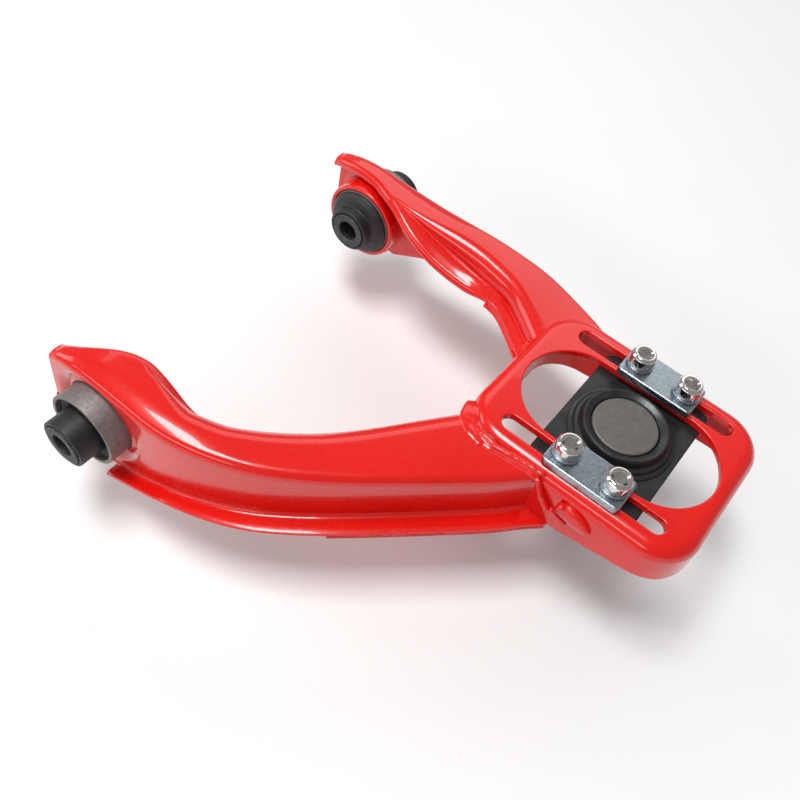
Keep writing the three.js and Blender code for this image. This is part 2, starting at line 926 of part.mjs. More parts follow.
add('ball_joint_housing', jointHousing(), finish.blackOxide(), carriage);
add(
  'joint_cover_disc',
  rod(CUP.lipInner - GAP, COVER.low, COVER.high, 40),
  finish.greyPhosphate(),
  carriage,
);
add(
  'preload_spring_washer',
  ring(PRELOAD.inner, CUP.inner - GAP, PRELOAD.low, PRELOAD.high),
  finish.darkSteel(),
  carriage,
);
add('upper_ball_seat', upperSeat(), finish.polymer(), carriage);
add('lower_ball_seat', lowerSeat(), finish.polymer(), carriage);
add('ball_stud', ballStud(), finish.darkSteel(), carriage);
add('dust_boot', dustBoot(), finish.rubber(), carriage);
add('boot_upper_ring', bootRing(BOOT.upperRing), finish.darkSteel(), carriage);
add('boot_lower_ring', bootRing(BOOT.lowerRing), finish.darkSteel(), carriage);
add('castle_nut', castleNut(), finish.zinc(), carriage);
add('cotter_pin', cotterPin(), finish.zinc(), carriage);

for (const [sideName, side] of [['near', -1], ['far', 1]]) {
  add(`${sideName}_clamp_plate`, clampPlate(side), finish.zinc(), carriage);
  for (const [endName, end] of [['inboard', -1], ['outboard', 1]]) {
    const place = new THREE.Group();
    place.position.set((end * SCREW.spacing) / 2, side * SLOT.offset, 0);
    carriage.add(place);
    add(`${sideName}_${endName}_cap_screw`, capScrew(), finish.chrome(), place);
    add(`${sideName}_${endName}_lock_washer`, lockWasher(), finish.zinc(), place);
  }
}

export default arm;
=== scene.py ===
import math

import bmesh
import bpy
from mathutils import Matrix, Vector, noise


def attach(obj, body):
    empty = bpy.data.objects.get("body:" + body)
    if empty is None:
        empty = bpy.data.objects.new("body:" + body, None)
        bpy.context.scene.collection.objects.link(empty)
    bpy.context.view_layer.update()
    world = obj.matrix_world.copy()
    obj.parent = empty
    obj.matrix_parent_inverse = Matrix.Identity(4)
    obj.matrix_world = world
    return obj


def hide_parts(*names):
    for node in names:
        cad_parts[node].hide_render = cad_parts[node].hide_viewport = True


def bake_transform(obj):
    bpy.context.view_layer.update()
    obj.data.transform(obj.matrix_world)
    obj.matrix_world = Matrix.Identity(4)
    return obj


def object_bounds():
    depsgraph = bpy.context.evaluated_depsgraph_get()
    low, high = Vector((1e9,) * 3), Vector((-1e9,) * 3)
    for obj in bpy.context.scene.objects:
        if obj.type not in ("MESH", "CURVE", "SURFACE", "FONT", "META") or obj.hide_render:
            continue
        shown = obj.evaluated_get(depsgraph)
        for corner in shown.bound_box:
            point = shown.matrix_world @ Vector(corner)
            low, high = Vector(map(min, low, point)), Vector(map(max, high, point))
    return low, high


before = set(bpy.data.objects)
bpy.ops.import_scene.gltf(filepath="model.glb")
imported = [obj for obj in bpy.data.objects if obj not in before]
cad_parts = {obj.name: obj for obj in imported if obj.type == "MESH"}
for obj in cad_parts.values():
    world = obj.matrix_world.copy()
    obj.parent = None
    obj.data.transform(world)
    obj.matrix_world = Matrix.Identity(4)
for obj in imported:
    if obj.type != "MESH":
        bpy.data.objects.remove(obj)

cad_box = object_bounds()

# Every size below is in millimetres, in the frame of the CAD model: the origin is the middle of the
# pivot axis, +X points to the ball joint, +Y to the short arm's bush and +Z up.
MM = 0.001

# ---- camera

CAMERA_PLACE = Vector((222.2, -248.6, 371.0)) * MM
CAMERA_AZIMUTH = math.radians(26.33)
CAMERA_DROP = math.radians(52.99)
CAMERA_ROLL = math.radians(14.51)
CAMERA_LENS = 40.7


def add_object(name, data):
    made = bpy.data.objects.new(name, data)
    bpy.context.scene.collection.objects.link(made)
    return made


def make_camera():
    data = bpy.data.cameras.new("camera")
    data.sensor_width = 36.0
    data.lens = CAMERA_LENS
    data.clip_start = 0.01
    camera = add_object("camera", data)
    level = Vector((math.cos(CAMERA_AZIMUTH), math.sin(CAMERA_AZIMUTH), 0))
    ahead = Vector((-math.sin(CAMERA_AZIMUTH), math.cos(CAMERA_AZIMUTH), 0))
    ahead = ahead * math.cos(CAMERA_DROP) - Vector((0, 0, math.sin(CAMERA_DROP)))
    above = level.cross(ahead)
    right = level * math.cos(CAMERA_ROLL) + above * math.sin(CAMERA_ROLL)
    up = right.cross(ahead)
    turn = Matrix((right, up, -ahead)).transposed().to_4x4()
    camera.matrix_world = Matrix.Translation(CAMERA_PLACE) @ turn
    bpy.context.scene.camera = camera


make_camera()

# ---- materials


def fill(node, values):
    """Sets a node's inputs by name."""
    for name, value in values.items():
        node.inputs[name].default_value = value
    return node


def shade(
    name,
    colour,
    second=None,
    mix_scale=60.0,
    metallic=0.0,
    roughness=0.5,
    rough_spread=0.08,
    grain_scale=900.0,
    grain_depth=0.02,
    grain_detail=3.0,
    stretch=(1, 1, 1),
    coat=0.0,
    coat_roughness=0.05,
    specular=0.5,
):
    """A surface whose colour, roughness and fine relief all vary with noise in the piece's own space."""
    material = bpy.data.materials.new(name)
    material.use_nodes = True
    nodes = material.node_tree.nodes
    links = material.node_tree.links
    shader = fill(nodes["Principled BSDF"], {
        "Metallic": metallic,
        "Coat Weight": coat,
        "Coat Roughness": coat_roughness,
        "Specular IOR Level": specular,
    })

    place = nodes.new("ShaderNodeTexCoord")
    scale = fill(nodes.new("ShaderNodeMapping"), {"Scale": stretch})
    links.new(place.outputs["Object"], scale.inputs["Vector"])

    broad = fill(nodes.new("ShaderNodeTexNoise"), {"Scale": mix_scale, "Detail": 4.0})
    links.new(scale.outputs["Vector"], broad.inputs["Vector"])
    colours = nodes.new("ShaderNodeValToRGB")
    colours.color_ramp.elements[0].position = 0.3
    colours.color_ramp.elements[1].position = 0.7
    colours.color_ramp.elements[0].color = (*colour, 1)
    colours.color_ramp.elements[1].color = (*(second or colour), 1)
    links.new(broad.outputs["Fac"], colours.inputs["Fac"])
    links.new(colours.outputs["Color"], shader.inputs["Base Color"])

    fine = fill(nodes.new("ShaderNodeTexNoise"), {"Scale": grain_scale, "Detail": grain_detail})
    links.new(scale.outputs["Vector"], fine.inputs["Vector"])
    ranges = fill(nodes.new("ShaderNodeMapRange"), {
        "From Min": 0.3,
        "From Max": 0.7,
        "To Min": max(roughness - rough_spread, 0.02),
        "To Max": roughness + rough_spread,
    })
    links.new(fine.outputs["Fac"], ranges.inputs["Value"])
    links.new(ranges.outputs["Result"], shader.inputs["Roughness"])

    relief = fill(nodes.new("ShaderNodeBump"), {"Strength": 1.0, "Distance": grain_depth * MM})
    links.new(fine.outputs["Fac"], relief.inputs["Height"])
    links.new(relief.outputs["Normal"], shader.inputs["Normal"])
    return material


MATERIALS = {
    "red_coat": shade(
        "red_coat", (0.66, 0.003, 0.0005), (0.72, 0.005, 0.001), mix_scale=25, roughness=0.25,
        rough_spread=0.03, grain_scale=420, grain_depth=0.002, grain_detail=1.0, coat=0.6,
        coat_roughness=0.04, specular=0.35,
    ),
    "bare_steel": shade(
        "bare_steel", (0.19, 0.165, 0.16), (0.27, 0.245, 0.24), mix_scale=500, metallic=0.65,
        roughness=0.56, rough_spread=0.12, grain_scale=1500, grain_depth=0.05,
    ),
    "dark_steel": shade(
        "dark_steel", (0.035, 0.037, 0.042), (0.09, 0.095, 0.10), mix_scale=700, metallic=0.6,
        roughness=0.5, rough_spread=0.12, grain_scale=1600, grain_depth=0.04,
    ),
    "stud_steel": shade(
        "stud_steel", (0.20, 0.20, 0.21), (0.30, 0.30, 0.31), mix_scale=120, metallic=1.0,
        roughness=0.36, grain_scale=700, grain_depth=0.015, stretch=(1, 1, 9),
    ),
    "bush_rubber": shade(
        "bush_rubber", (0.006, 0.007, 0.009), (0.013, 0.014, 0.017), mix_scale=260,
        roughness=0.5, rough_spread=0.12, grain_scale=1100, grain_depth=0.04,
    ),
    "boot_rubber": shade(
        "boot_rubber", (0.008, 0.008, 0.009), (0.016, 0.016, 0.018), mix_scale=200,
        roughness=0.62, rough_spread=0.1, grain_scale=1300, grain_depth=0.03,
    ),
    "black_oxide": shade(
        "black_oxide", (0.028, 0.031, 0.033), (0.045, 0.049, 0.051), mix_scale=150, metallic=0.6,
        roughness=0.31, rough_spread=0.07, grain_scale=1200, grain_depth=0.02,
    ),
    "grey_disc": shade(
        "grey_disc", (0.135, 0.125, 0.116), (0.165, 0.154, 0.143), mix_scale=300, metallic=0.55,
        roughness=0.55, rough_spread=0.08, grain_scale=1500, grain_depth=0.03,
    ),
    "zinc_plate": shade(
        "zinc_plate", (0.31, 0.36, 0.40), (0.41, 0.46, 0.50), mix_scale=450, metallic=1.0,
        roughness=0.28, rough_spread=0.07, grain_scale=900, grain_depth=0.03,
    ),
    "bright_chrome": shade(
        "bright_chrome", (0.74, 0.71, 0.69), (0.84, 0.82, 0.80), mix_scale=200, metallic=1.0,
        roughness=0.1, rough_spread=0.04, grain_scale=500, grain_depth=0.008,
    ),
    "seat_polymer": shade(
        "seat_polymer", (0.62, 0.60, 0.52), (0.70, 0.68, 0.60), mix_scale=200, roughness=0.45,
    ),
}

# ---- mesh helpers


SMOOTH_ANGLE = 38


def to_object(name, points, faces, smooth_angle=SMOOTH_ANGLE):
    mesh = bpy.data.meshes.new(name)
    mesh.from_pydata([Vector(p) * MM for p in points], [], faces)
    piece = add_object(name, mesh)
    tidy_mesh(piece, smooth_angle)
    return piece


def smooth_by_angle(piece, smooth_angle):
    piece.data.polygons.foreach_set("use_smooth", [True] * len(piece.data.polygons))
    piece.data.set_sharp_from_angle(angle=math.radians(smooth_angle))


def tidy_mesh(piece, smooth_angle=SMOOTH_ANGLE):
    work = bmesh.new()
    work.from_mesh(piece.data)
    bmesh.ops.remove_doubles(work, verts=work.verts, dist=1e-6)
    bmesh.ops.dissolve_degenerate(work, edges=work.edges, dist=1e-7)
    bmesh.ops.recalc_face_normals(work, faces=work.faces)
    work.to_mesh(piece.data)
    work.free()
    smooth_by_angle(piece, smooth_angle)


def settle(piece):
    """Applies every modifier of a piece to its mesh."""
    graph = bpy.context.evaluated_depsgraph_get()
    mesh = bpy.data.meshes.new_from_object(piece.evaluated_get(graph))
    piece.modifiers.clear()
    piece.data = mesh


def cut(piece, *tools, operation="DIFFERENCE", solver="EXACT"):
    for tool in tools:
        change = piece.modifiers.new("cut", "BOOLEAN")
        change.operation = operation
        change.solver = solver
        change.object = tool
        settle(piece)
        bpy.data.objects.remove(tool)
    tidy_mesh(piece)


def round_edges(piece, width, steps=3, above=50):
    change = piece.modifiers.new("edges", "BEVEL")
    change.width = width * MM
    change.segments = steps
    change.limit_method = "ANGLE"
    change.angle_limit = math.radians(above)
    settle(piece)
    even_normals(piece)


def even_normals(piece, smooth_angle=SMOOTH_ANGLE):
    smooth_by_angle(piece, smooth_angle)
    change = piece.modifiers.new("normals", "WEIGHTED_NORMAL")
    change.keep_sharp = True
    settle(piece)


def soften(profile, radius, steps=3, closed=True):
    """Rounds the corners of a line of (a, b) points."""
    result = []
    count = len(profile)
    for i, point in enumerate(profile):
        here = Vector(point)
        if not closed and i in (0, count - 1):
            result.append(tuple(here))
            continue
        before = Vector(profile[i - 1]) - here
        after = Vector(profile[(i + 1) % count]) - here
        start = here + before.normalized() * min(radius, before.length * 0.45)
        end = here + after.normalized() * min(radius, after.length * 0.45)
        for k in range(steps + 1):
            t = k / steps
            bend = start * (1 - t) ** 2 + here * (2 * t * (1 - t)) + end * t ** 2
            result.append(tuple(bend))
    return result


def lathe(name, profile, segments=96, place=None, wave=None, closed=True):
    """A body of revolution about Z from (radius, height) points; `wave` may raise single points."""
    points = []
    faces = []
    count = len(profile)
    for s in range(segments):
        angle = 2 * math.pi * s / segments
        for radius, height in profile:
            lift = wave(radius, height, angle) if wave else 0.0
            point = (radius * math.cos(angle), radius * math.sin(angle), height + lift)
            points.append(place(point) if place else point)
    for s in range(segments):
        for i in range(count if closed else count - 1):
            a = s * count + i
            b = s * count + (i + 1) % count
            shift = count * ((s + 1) % segments) - s * count
            faces.append((a, b, b + shift, a + shift))
    return to_object(name, points, faces)


def ring_faces(ring_count, size, caps=True):
    """Faces between neighbouring rings of `size` points, and over the first and last ring."""
    faces = []
    for r in range(ring_count - 1):
        for i in range(size):
            a = r * size + i
            b = r * size + (i + 1) % size
            faces.append((a, b, b + size, a + size))
    if caps:
        faces.append(tuple(range(size)))
        faces.append(tuple(range((ring_count - 1) * size, ring_count * size)))
    return faces


def stack(name, rings):
    """A body through a pile of rings of equally many points."""
    points = [point for ring in rings for point in ring]
    return to_object(name, points, ring_faces(len(rings), len(rings[0])))


def even_angles(count):
    return [2 * math.pi * k / count for k in range(count)]


def circle(middle, radius, angles):
    """Points round a middle, at the given angles."""
    return [(middle[0] + radius * math.cos(a), middle[1] + radius * math.sin(a)) for a in angles]


def bar_outline(middle, way, start, end, half):
    """Plan outline of a straight bar that lies along a direction."""
    across = Vector((-way.y, way.x))
    outline = []
    for a, c in ((start, -half), (end, -half), (end, half), (start, half)):
        place = Vector(middle) + way * a + across * c
        outline.append((place.x, place.y))
    return outline


def plate_outline(cx, cy, half_x, half_y, radius):
    """A function that gives a round-cornered plate's outline, drawn in by an inset."""

    def outline(inset):
        return rounded_rectangle(
            cx - half_x + inset, cx + half_x - inset, cy - half_y + inset, cy + half_y - inset,
            radius - inset, corner_steps=8,
        )

    return outline


def rounded_rectangle(x0, x1, y0, y1, radius, corner_steps=12, side_steps=1):
    corners = (
        (x1 - radius, y0 + radius, -90),
        (x1 - radius, y1 - radius, 0),
        (x0 + radius, y1 - radius, 90),
        (x0 + radius, y0 + radius, 180),
    )
    outline = []
    for cx, cy, start in corners:
        for k in range(corner_steps + 1):
            angle = math.radians(start + 90 * k / corner_steps)
            outline.append((cx + radius * math.cos(angle), cy + radius * math.sin(angle)))
    if side_steps < 2:
        return outline
    filled = []
    for i, (x, y) in enumerate(outline):
        nx, ny = outline[(i + 1) % len(outline)]
        filled.append((x, y))
        if i % (corner_steps + 1) == corner_steps:
            for k in range(1, side_steps):
                t = k / side_steps
                filled.append((x + (nx - x) * t, y + (ny - y) * t))
    return filled


def stadium(cx, cy, half_length, radius, steps=24):
    outline = []
    for side, start in ((1, -90), (-1, 90)):
        for k in range(steps + 1):
            angle = math.radians(start + 180 * k / steps)
            x = cx + side * (half_length - radius) + radius * math.cos(angle)
            outline.append((x, cy + radius * math.sin(angle)))
    return outline


def prism(name, outline, low, high):
    return stack(name, [[(x, y, low) for x, y in outline], [(x, y, high) for x, y in outline]])


def cylinder(name, radius, low, high, segments=48, place=(0, 0)):
    return prism(name, circle(place, radius, even_angles(segments)), low, high)


def slab(name, outline_at, low, high, edge, steps=4):
    """A flat plate whose rims are rounded; outline_at(inset) gives its outline."""
    rings = []
    for end, height in ((-1, low), (1, high)):
        for k in range(steps + 1):
            t = k / steps if end < 0 else 1 - k / steps
            angle = t * math.pi / 2
            inset = edge * (1 - math.sin(angle))
            z = height - end * edge * (1 - math.cos(angle))
            rings.append([(x, y, z) for x, y in outline_at(inset)])
    return stack(name, rings)


def finish_piece(piece, body, slot, *nodes):
    piece.data.materials.clear()
    piece.data.materials.append(MATERIALS[slot])
    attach(piece, body)
    if nodes:
        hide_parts(*nodes)
    return piece


# ---- arm pressings

SHEET = 3.0
GAP = 0.3
WEB_ROUND = 33.0
FLANGE_START = 10.0
ARM_START = -31
LONG_ARM_END = 192
SHORT_ARM_END = 170
# used for the closing plates and their seams; the arms' own flange follows their `flange` tables
FLANGE_WIDTH = 9.0
SHOULDER = 3.4
CROWN = 1.6
CROWN_FADE = (38, 75)
CROWN_LOST = 0.85
ROLL_SHARE = 0.7
ROLL_LEAST = 1.6
CREASE = 1.9
STEEPEST = 84
LIP = 2.4
OPEN_FADE = (78, 100)
FOOT = 4.0
ROUND_END = 14
ARM_BITE = 1.6
CAP_STEPS = 4
BUSH_Y = 103.5
SHELL_RADIUS = 20.0
SHELL_HALF = 15.0
COLLAR_INNER = SHELL_RADIUS + GAP
COLLAR_OUTER = COLLAR_INNER + 2.7

# As in the CAD source: `web` is the distance of the web's outer face from the X axis, `top` and
# `bottom` are heights, `flange` is the width of the lower flange, `width` reaches to the step on the
# inner side, `drop` is the depth of that step and `tip` the place of the sheet's inner edge, each as
# (x, value).
LONG_ARM = {
    "side": -1,
    "web": [
        (-31, 108.3), (28, 108.3), (47, 106), (60, 102.3), (72, 97.6), (85, 91), (98, 82), (113, 70),
        (130, 54.5), (150, 35.5), (170, 16), (192, -5.5),
    ],
    "top": [
        (-31, 22), (-25, 25.5), (-14, 28), (0, 29.5), (15, 29.5), (50, 28), (80, 26), (120, 25),
        (192, 24.5),
    ],
    "bottom": [
        (14, -30), (27, -27), (41, -21), (54, -17.5), (80, -13.5), (115, -9.5), (165, -7),
        (192, -6),
    ],
    "flange": [(10, 7), (27, 5.5), (41, 6), (54, 7), (80, 8.5), (115, 9)],
    "width": [
        (-31, 4.5), (-22, 6), (-12, 11.5), (-3, 16), (10, 18.5), (26, 18), (45, 17.5), (60, 18.5),
        (85, 22.5), (105, 25), (125, 29), (150, 36), (192, 44),
    ],
    "drop": [(8, 0), (30, 6), (50, 13), (192, 14.5)],
    "tip": [
        (-31, 6.5), (-22, 8.5), (-12, 15.5), (-3, 20), (10, 22.5), (26, 24), (45, 25), (60, 25),
        (85, 29), (105, 31.5), (125, 35.5), (150, 42.5), (192, 50.5),
    ],
}
SHORT_ARM = {
    "side": 1,
    "web": [
        (-31, 108.8), (10, 109.3), (47, 110.3), (68, 111.6), (88, 113), (106, 113), (120, 111.3),
        (137, 107.2), (153, 102.6), (170, 97),
    ],
    "top": [(-31, 22.5), (-25, 26), (-14, 28.5), (0, 30), (60, 29), (100, 27.5), (170, 24.5)],
    "bottom": [(14, -31), (27, -24.5), (41, -18), (54, -13.5), (80, -11), (115, -8), (170, -5)],
    "flange": [(10, 9), (170, 9)],
    "width": [
        (-31, 4.5), (-24, 6), (-13, 7), (6, 10), (22, 16), (40, 17.5), (60, 18), (80, 20), (98, 23),
        (114, 27), (130, 32), (170, 44),
    ],
    "drop": [(16, 0), (35, 3), (55, 8), (75, 11), (170, 9)],
    "tip": [
        (-31, 6.5), (-24, 8.5), (-13, 10.5), (6, 14.5), (22, 22.5), (32, 27), (42, 30), (60, 32),
        (80, 32.5), (98, 34), (114, 37.5), (130, 42.5), (170, 55),
    ],
}


def monotone(table, x):
    """A smooth curve through (x, value) points that never overshoots them."""
    if x <= table[0][0]:
        return table[0][1]
    if x >= table[-1][0]:
        return table[-1][1]
    i = max(k for k, (place, _) in enumerate(table) if place <= x)

    def slope(k):
        if k <= 0 or k >= len(table) - 1:
            return 0.0
        before = (table[k][1] - table[k - 1][1]) / (table[k][0] - table[k - 1][0])
        after = (table[k + 1][1] - table[k][1]) / (table[k + 1][0] - table[k][0])
        return 0.0 if before * after <= 0 else 2 * before * after / (before + after)

    (x0, y0), (x1, y1) = table[i], table[i + 1]
    span = x1 - x0
    t = (x - x0) / span
    return (
        (2 * t ** 3 - 3 * t ** 2 + 1) * y0
        + (t ** 3 - 2 * t ** 2 + t) * slope(i) * span
        + (3 * t ** 2 - 2 * t ** 3) * y1
        + (t ** 3 - t ** 2) * slope(i + 1) * span
    )


def along(table, x, reach=8, samples=9):
    """The monotone curve averaged over a short stretch, so that its curvature is even too."""
    low, high = table[0][0], table[-1][0]
    reach = max(min(reach, x - low, high - x), 0)
    total = 0.0
    for k in range(samples):
        total += monotone(table, x + reach * (2 * k / (samples - 1) - 1))
    return total / samples


def smoothstep(low, high, value):
    t = min(max((value - low) / (high - low), 0.0), 1.0)
    return t * t * (3 - 2 * t)


def lower_edge(arm, x):
    free = along(arm["bottom"], x)
    if x > ROUND_END:
        return free
    return max(-math.sqrt(max(WEB_ROUND ** 2 - x ** 2, 100)), free - 40)


def sheet_line(arm, x):
    """Middle line of the arm's sheet at x, as (inwards, height), from the lower flange to the tip."""
    half = SHEET / 2
    top = along(arm["top"], x) - half
    bottom = lower_edge(arm, x) + half
    width = along(arm["width"], x)
    tip = along(arm["tip"], x)
    drop = max(along(arm["drop"], x), 0.02)
    foot = 0.4 if x < FLANGE_START else FOOT
    reach = 0.8 if x < FLANGE_START else along(arm["flange"], x) + half
    shoulder = min(SHOULDER, width * 0.3)
    crown = min(CROWN, width * 0.1) * (1 - CROWN_LOST * smoothstep(*CROWN_FADE, x))
    ease = min(5.0, width * 0.24)

    points = []

    def arc(cx, cz, radius, start, end, steps):
        for k in range(steps + 1):
            angle = math.radians(start + (end - start) * k / steps)
            points.append((cx + radius * math.cos(angle), cz + radius * math.sin(angle)))

    flange_steps = 3
    for k in range(flange_steps):
        t = k / flange_steps
        points.append((half - reach + (reach - foot) * t, bottom))
    arc(half - foot, bottom + foot, foot, -90, 0, 6)

    # the top is crowned: it rises from the shoulder to its middle
    peak = (half + shoulder + width) / 2
    lean = math.atan2(2 * crown, peak - half - shoulder)
    lean = math.atan2(2 * crown, peak - half - shoulder * (1 - math.sin(lean)))
    web_low = bottom + foot
    web_high = top - crown - shoulder * math.cos(lean)
    web_steps = 30
    for k in range(1, web_steps):
        points.append((half, web_low + (web_high - web_low) * k / web_steps))
    arc(half + shoulder, web_high, shoulder, 180, 90 + math.degrees(lean), 9)
    rise_start = points[-1][0]

    # the step on the inner side: a round roll, a steep wall, and a tight crease above the ledge
    roll = max(ROLL_SHARE * drop, ROLL_LEAST)
    steep = min(math.radians(STEEPEST), math.acos(max(1 - drop / (roll + CREASE), -1)))
    turned = (roll + CREASE) * (1 - math.cos(steep))
    wall = max(drop - turned, 0) / math.sin(steep)
    step_width = (roll + CREASE) * math.sin(steep) + wall * math.cos(steep)
    step_end = width + ease
    step_start = max(step_end - step_width, peak + 0.3)
    step_end = step_start + step_width
    crown_steps = 8
    for k in range(1, crown_steps + 1):
        u = rise_start + (step_start - rise_start) * k / crown_steps
        short = max(peak - u, 0) / (peak - rise_start)
        points.append((u, top - crown * short ** 2))
    for k in range(1, 10):
        angle = steep * k / 9
        points.append((step_start + roll * math.sin(angle), top - roll * (1 - math.cos(angle))))
    u, z = points[-1]
    for k in range(1, 4):
        points.append((u + wall * math.cos(steep) * k / 4, z - wall * math.sin(steep) * k / 4))
    for k in range(7):
        angle = steep * (1 - k / 6)
        u = step_end - CREASE * math.sin(angle)
        points.append((u, top - drop + CREASE * (1 - math.cos(angle))))

    # the ledge falls away towards its tip, most where no closing plate lies under it
    open_part = 1 - smoothstep(*OPEN_FADE, x)
    lip = LIP * open_part
    fall = (0.4 + 1.8 * open_part) * min(drop / 8, 1)
    ledge = top - drop
    start = step_end
    end = max(tip - lip, start + 0.6)
    for k in range(1, 5):
        t = k / 4
        points.append((start + (end - start) * t, ledge - fall * t * t))
    for k in range(1, 6):
        angle = math.pi / 2 * k / 5
        u = end + lip * math.sin(angle) + 0.02 * k
        points.append((u, ledge - fall - lip * (1 - math.cos(angle))))
    return points


def thicken(line, thickness):
    """A closed outline half a thickness each side of a line, with rounded ends."""
    half = thickness / 2
    directions = []
    for i in range(len(line)):
        before = Vector(line[max(i - 1, 0)])
        after = Vector(line[min(i + 1, len(line) - 1)])
        directions.append((after - before).normalized())
    upper = []
    lower = []
    for point, direction in zip(line, directions):
        sideways = Vector((-direction.y, direction.x)) * half
        upper.append(tuple(Vector(point) + sideways))
        lower.append(tuple(Vector(point) - sideways))

    def end_cap(point, outward, from_side):
        cap = []
        for k in range(1, CAP_STEPS):
            angle = math.pi * k / CAP_STEPS
            offset = from_side * math.cos(angle) + outward * math.sin(angle)
            cap.append(tuple(Vector(point) + offset * half))
        return cap

    last = directions[-1]
    first = directions[0]
    tail = end_cap(line[-1], last, Vector((-last.y, last.x)))
    head = end_cap(line[0], -first, Vector((first.y, -first.x)))
    return upper + tail + lower[::-1] + head


def web_frame(arm, x):
    step = 1.0
    slope = (along(arm["web"], x + step) - along(arm["web"], x - step)) / (2 * step)
    inwards = Vector((slope, -1, 0)).normalized()
    inwards.y *= arm["side"]
    return Vector((x, arm["side"] * along(arm["web"], x), 0)), inwards


DISH_OUTER = 28.5
DISH_ROUND = 7.0
DISH_FADE = (17, 26)


def dish(x, z):
    """How far the web is pressed inwards near the bush."""
    radius = math.hypot(x, z)
    if radius >= DISH_OUTER:
        return 0.0
    across = min((DISH_OUTER - radius) / DISH_ROUND, 0.86)
    depth = DISH_ROUND * (1 - math.sqrt(1 - across * across))
    return depth * (1 - smoothstep(*DISH_FADE, z))


def sweep(name, arm, stations, line_at, thickness, dished=False):
    rings = []
    for x in stations:
        origin, inwards = web_frame(arm, x)
        ring = []
        for u, z in thicken(line_at(arm, x), thickness):
            point = origin + inwards * u
            if dished and u < SHEET + 4 and abs(x) < DISH_OUTER:
                fade = 1 - smoothstep(SHEET, SHEET + 4, u)
                point = point + inwards * dish(point.x, z) * fade
            ring.append((point.x, point.y, z))
        rings.append(ring)
    return close_ends(name, rings)


def close_ends(name, rings):
    """The swept sheet, each end closed by a ladder of faces across its thickness."""
    size = len(rings[0])
    points = [point for ring in rings for point in ring]
    faces = ring_faces(len(rings), size, caps=False)
    # the outline runs up one side of the sheet and comes back on the other
    last = (len(rings) - 1) * size
    ends = CAP_STEPS - 1
    top_count = (size - 2 * ends) // 2
    pairs = [(i, top_count * 2 + ends - 1 - i) for i in range(top_count)]
    for (a, b), (c, d) in zip(pairs, pairs[1:]):
        faces.append((a, b, d, c))
        faces.append((last + a, last + c, last + d, last + b))
    tail = list(range(top_count - 1, top_count + ends + 1))
    head = [top_count * 2 + ends - 1 + k for k in range(ends + 1)] + [0]
    for loop in (tail, head):
        faces.append(tuple(loop))
        faces.append(tuple(last + k for k in reversed(loop)))
    return to_object(name, points, faces)


def spread(start, end, count):
    return [start + (end - start) * k / (count - 1) for k in range(count)]


# ---- tray

JOINT = (197.4, 48.0)
TRAY = {
    "left": 131.5, "right": 257.5, "near": -3.5, "far": 99.5, "top": 27.5, "corner": 23.0,
    "shoulder": 8.0, "sheet": 4.4, "deep": -4.5, "shallow": 3.5,
}
WINDOW = {"x": 195.1, "half": 53.5, "radius": 29.1}
SLOT = {"x": 194.9, "half": 45.3, "radius": 4.6}
SLOT_OFFSET = 36.85
TRAY_CUT = (5, 60)
BLANK_LOW = -90


def tray_outline(inset):
    return rounded_rectangle(
        TRAY["left"] + inset, TRAY["right"] - inset, TRAY["near"] + inset, TRAY["far"] - inset,
        TRAY["corner"] - inset, corner_steps=16, side_steps=14,
    )


SKIRT_FAR = [(140, -11), (165, -8.5), (200, -4), (240, -2), (260, 2)]


def skirt_edge(x, y):
    """Height of the skirt's lower edge, which hangs deeper on the far side."""
    fall = min(max((x - JOINT[0]) / 40, 0), 1)
    near = TRAY["deep"] + (TRAY["shallow"] - TRAY["deep"]) * fall
    far = monotone(SKIRT_FAR, x)
    return near + (far - near) * smoothstep(TRAY["near"] + 10, TRAY["far"] - 15, y)


def tray_shell(inset, shoulder, top, low=None):
    """Rings from the skirt's edge up over the shoulder to the flat top."""
    rings = []
    outline = tray_outline(inset)
    if low is None:
        rings.append([(x, y, skirt_edge(x, y)) for x, y in outline])
    else:
        rings.append([(x, y, low) for x, y in outline])
    steps = 12
    for k in range(steps + 1):
        angle = math.pi / 2 * k / steps
        step_in = inset + shoulder * (1 - math.cos(angle))
        z = top - shoulder + shoulder * math.sin(angle)
        rings.append([(x, y, z) for x, y in tray_outline(step_in)])
    return rings


def tray_blank(name, inset):
    shoulder = TRAY["shoulder"] - inset
    return stack(name, tray_shell(inset, shoulder, TRAY["top"] - inset, low=BLANK_LOW))


def make_tray():
    sheet = TRAY["sheet"]
    outer = tray_shell(0, TRAY["shoulder"], TRAY["top"])
    inner = tray_shell(sheet, TRAY["shoulder"] - sheet, TRAY["top"] - sheet)
    tray = stack("tray_body", outer[::-1] + inner)
    window = stadium(WINDOW["x"], JOINT[1], WINDOW["half"], WINDOW["radius"], 48)
    cutters = [prism("window", window, *TRAY_CUT)]
    for side in (-1, 1):
        slot = stadium(SLOT["x"], JOINT[1] + side * SLOT_OFFSET, SLOT["half"], SLOT["radius"], 20)
        cutters.append(prism("slot", slot, *TRAY_CUT))
    cut(tray, *cutters)
    round_edges(tray, 0.8)
    return finish_piece(tray, "arm_frame", "red_coat", "ball_joint_tray")


make_tray()

# ---- arms in place


def bush_place(side):
    """Puts a point turned about Z onto the pivot axis, its +Z to the inside of the fork."""

    def place(point):
        x, y, z = point
        return (x, side * (BUSH_Y - z), side * y)

    return place


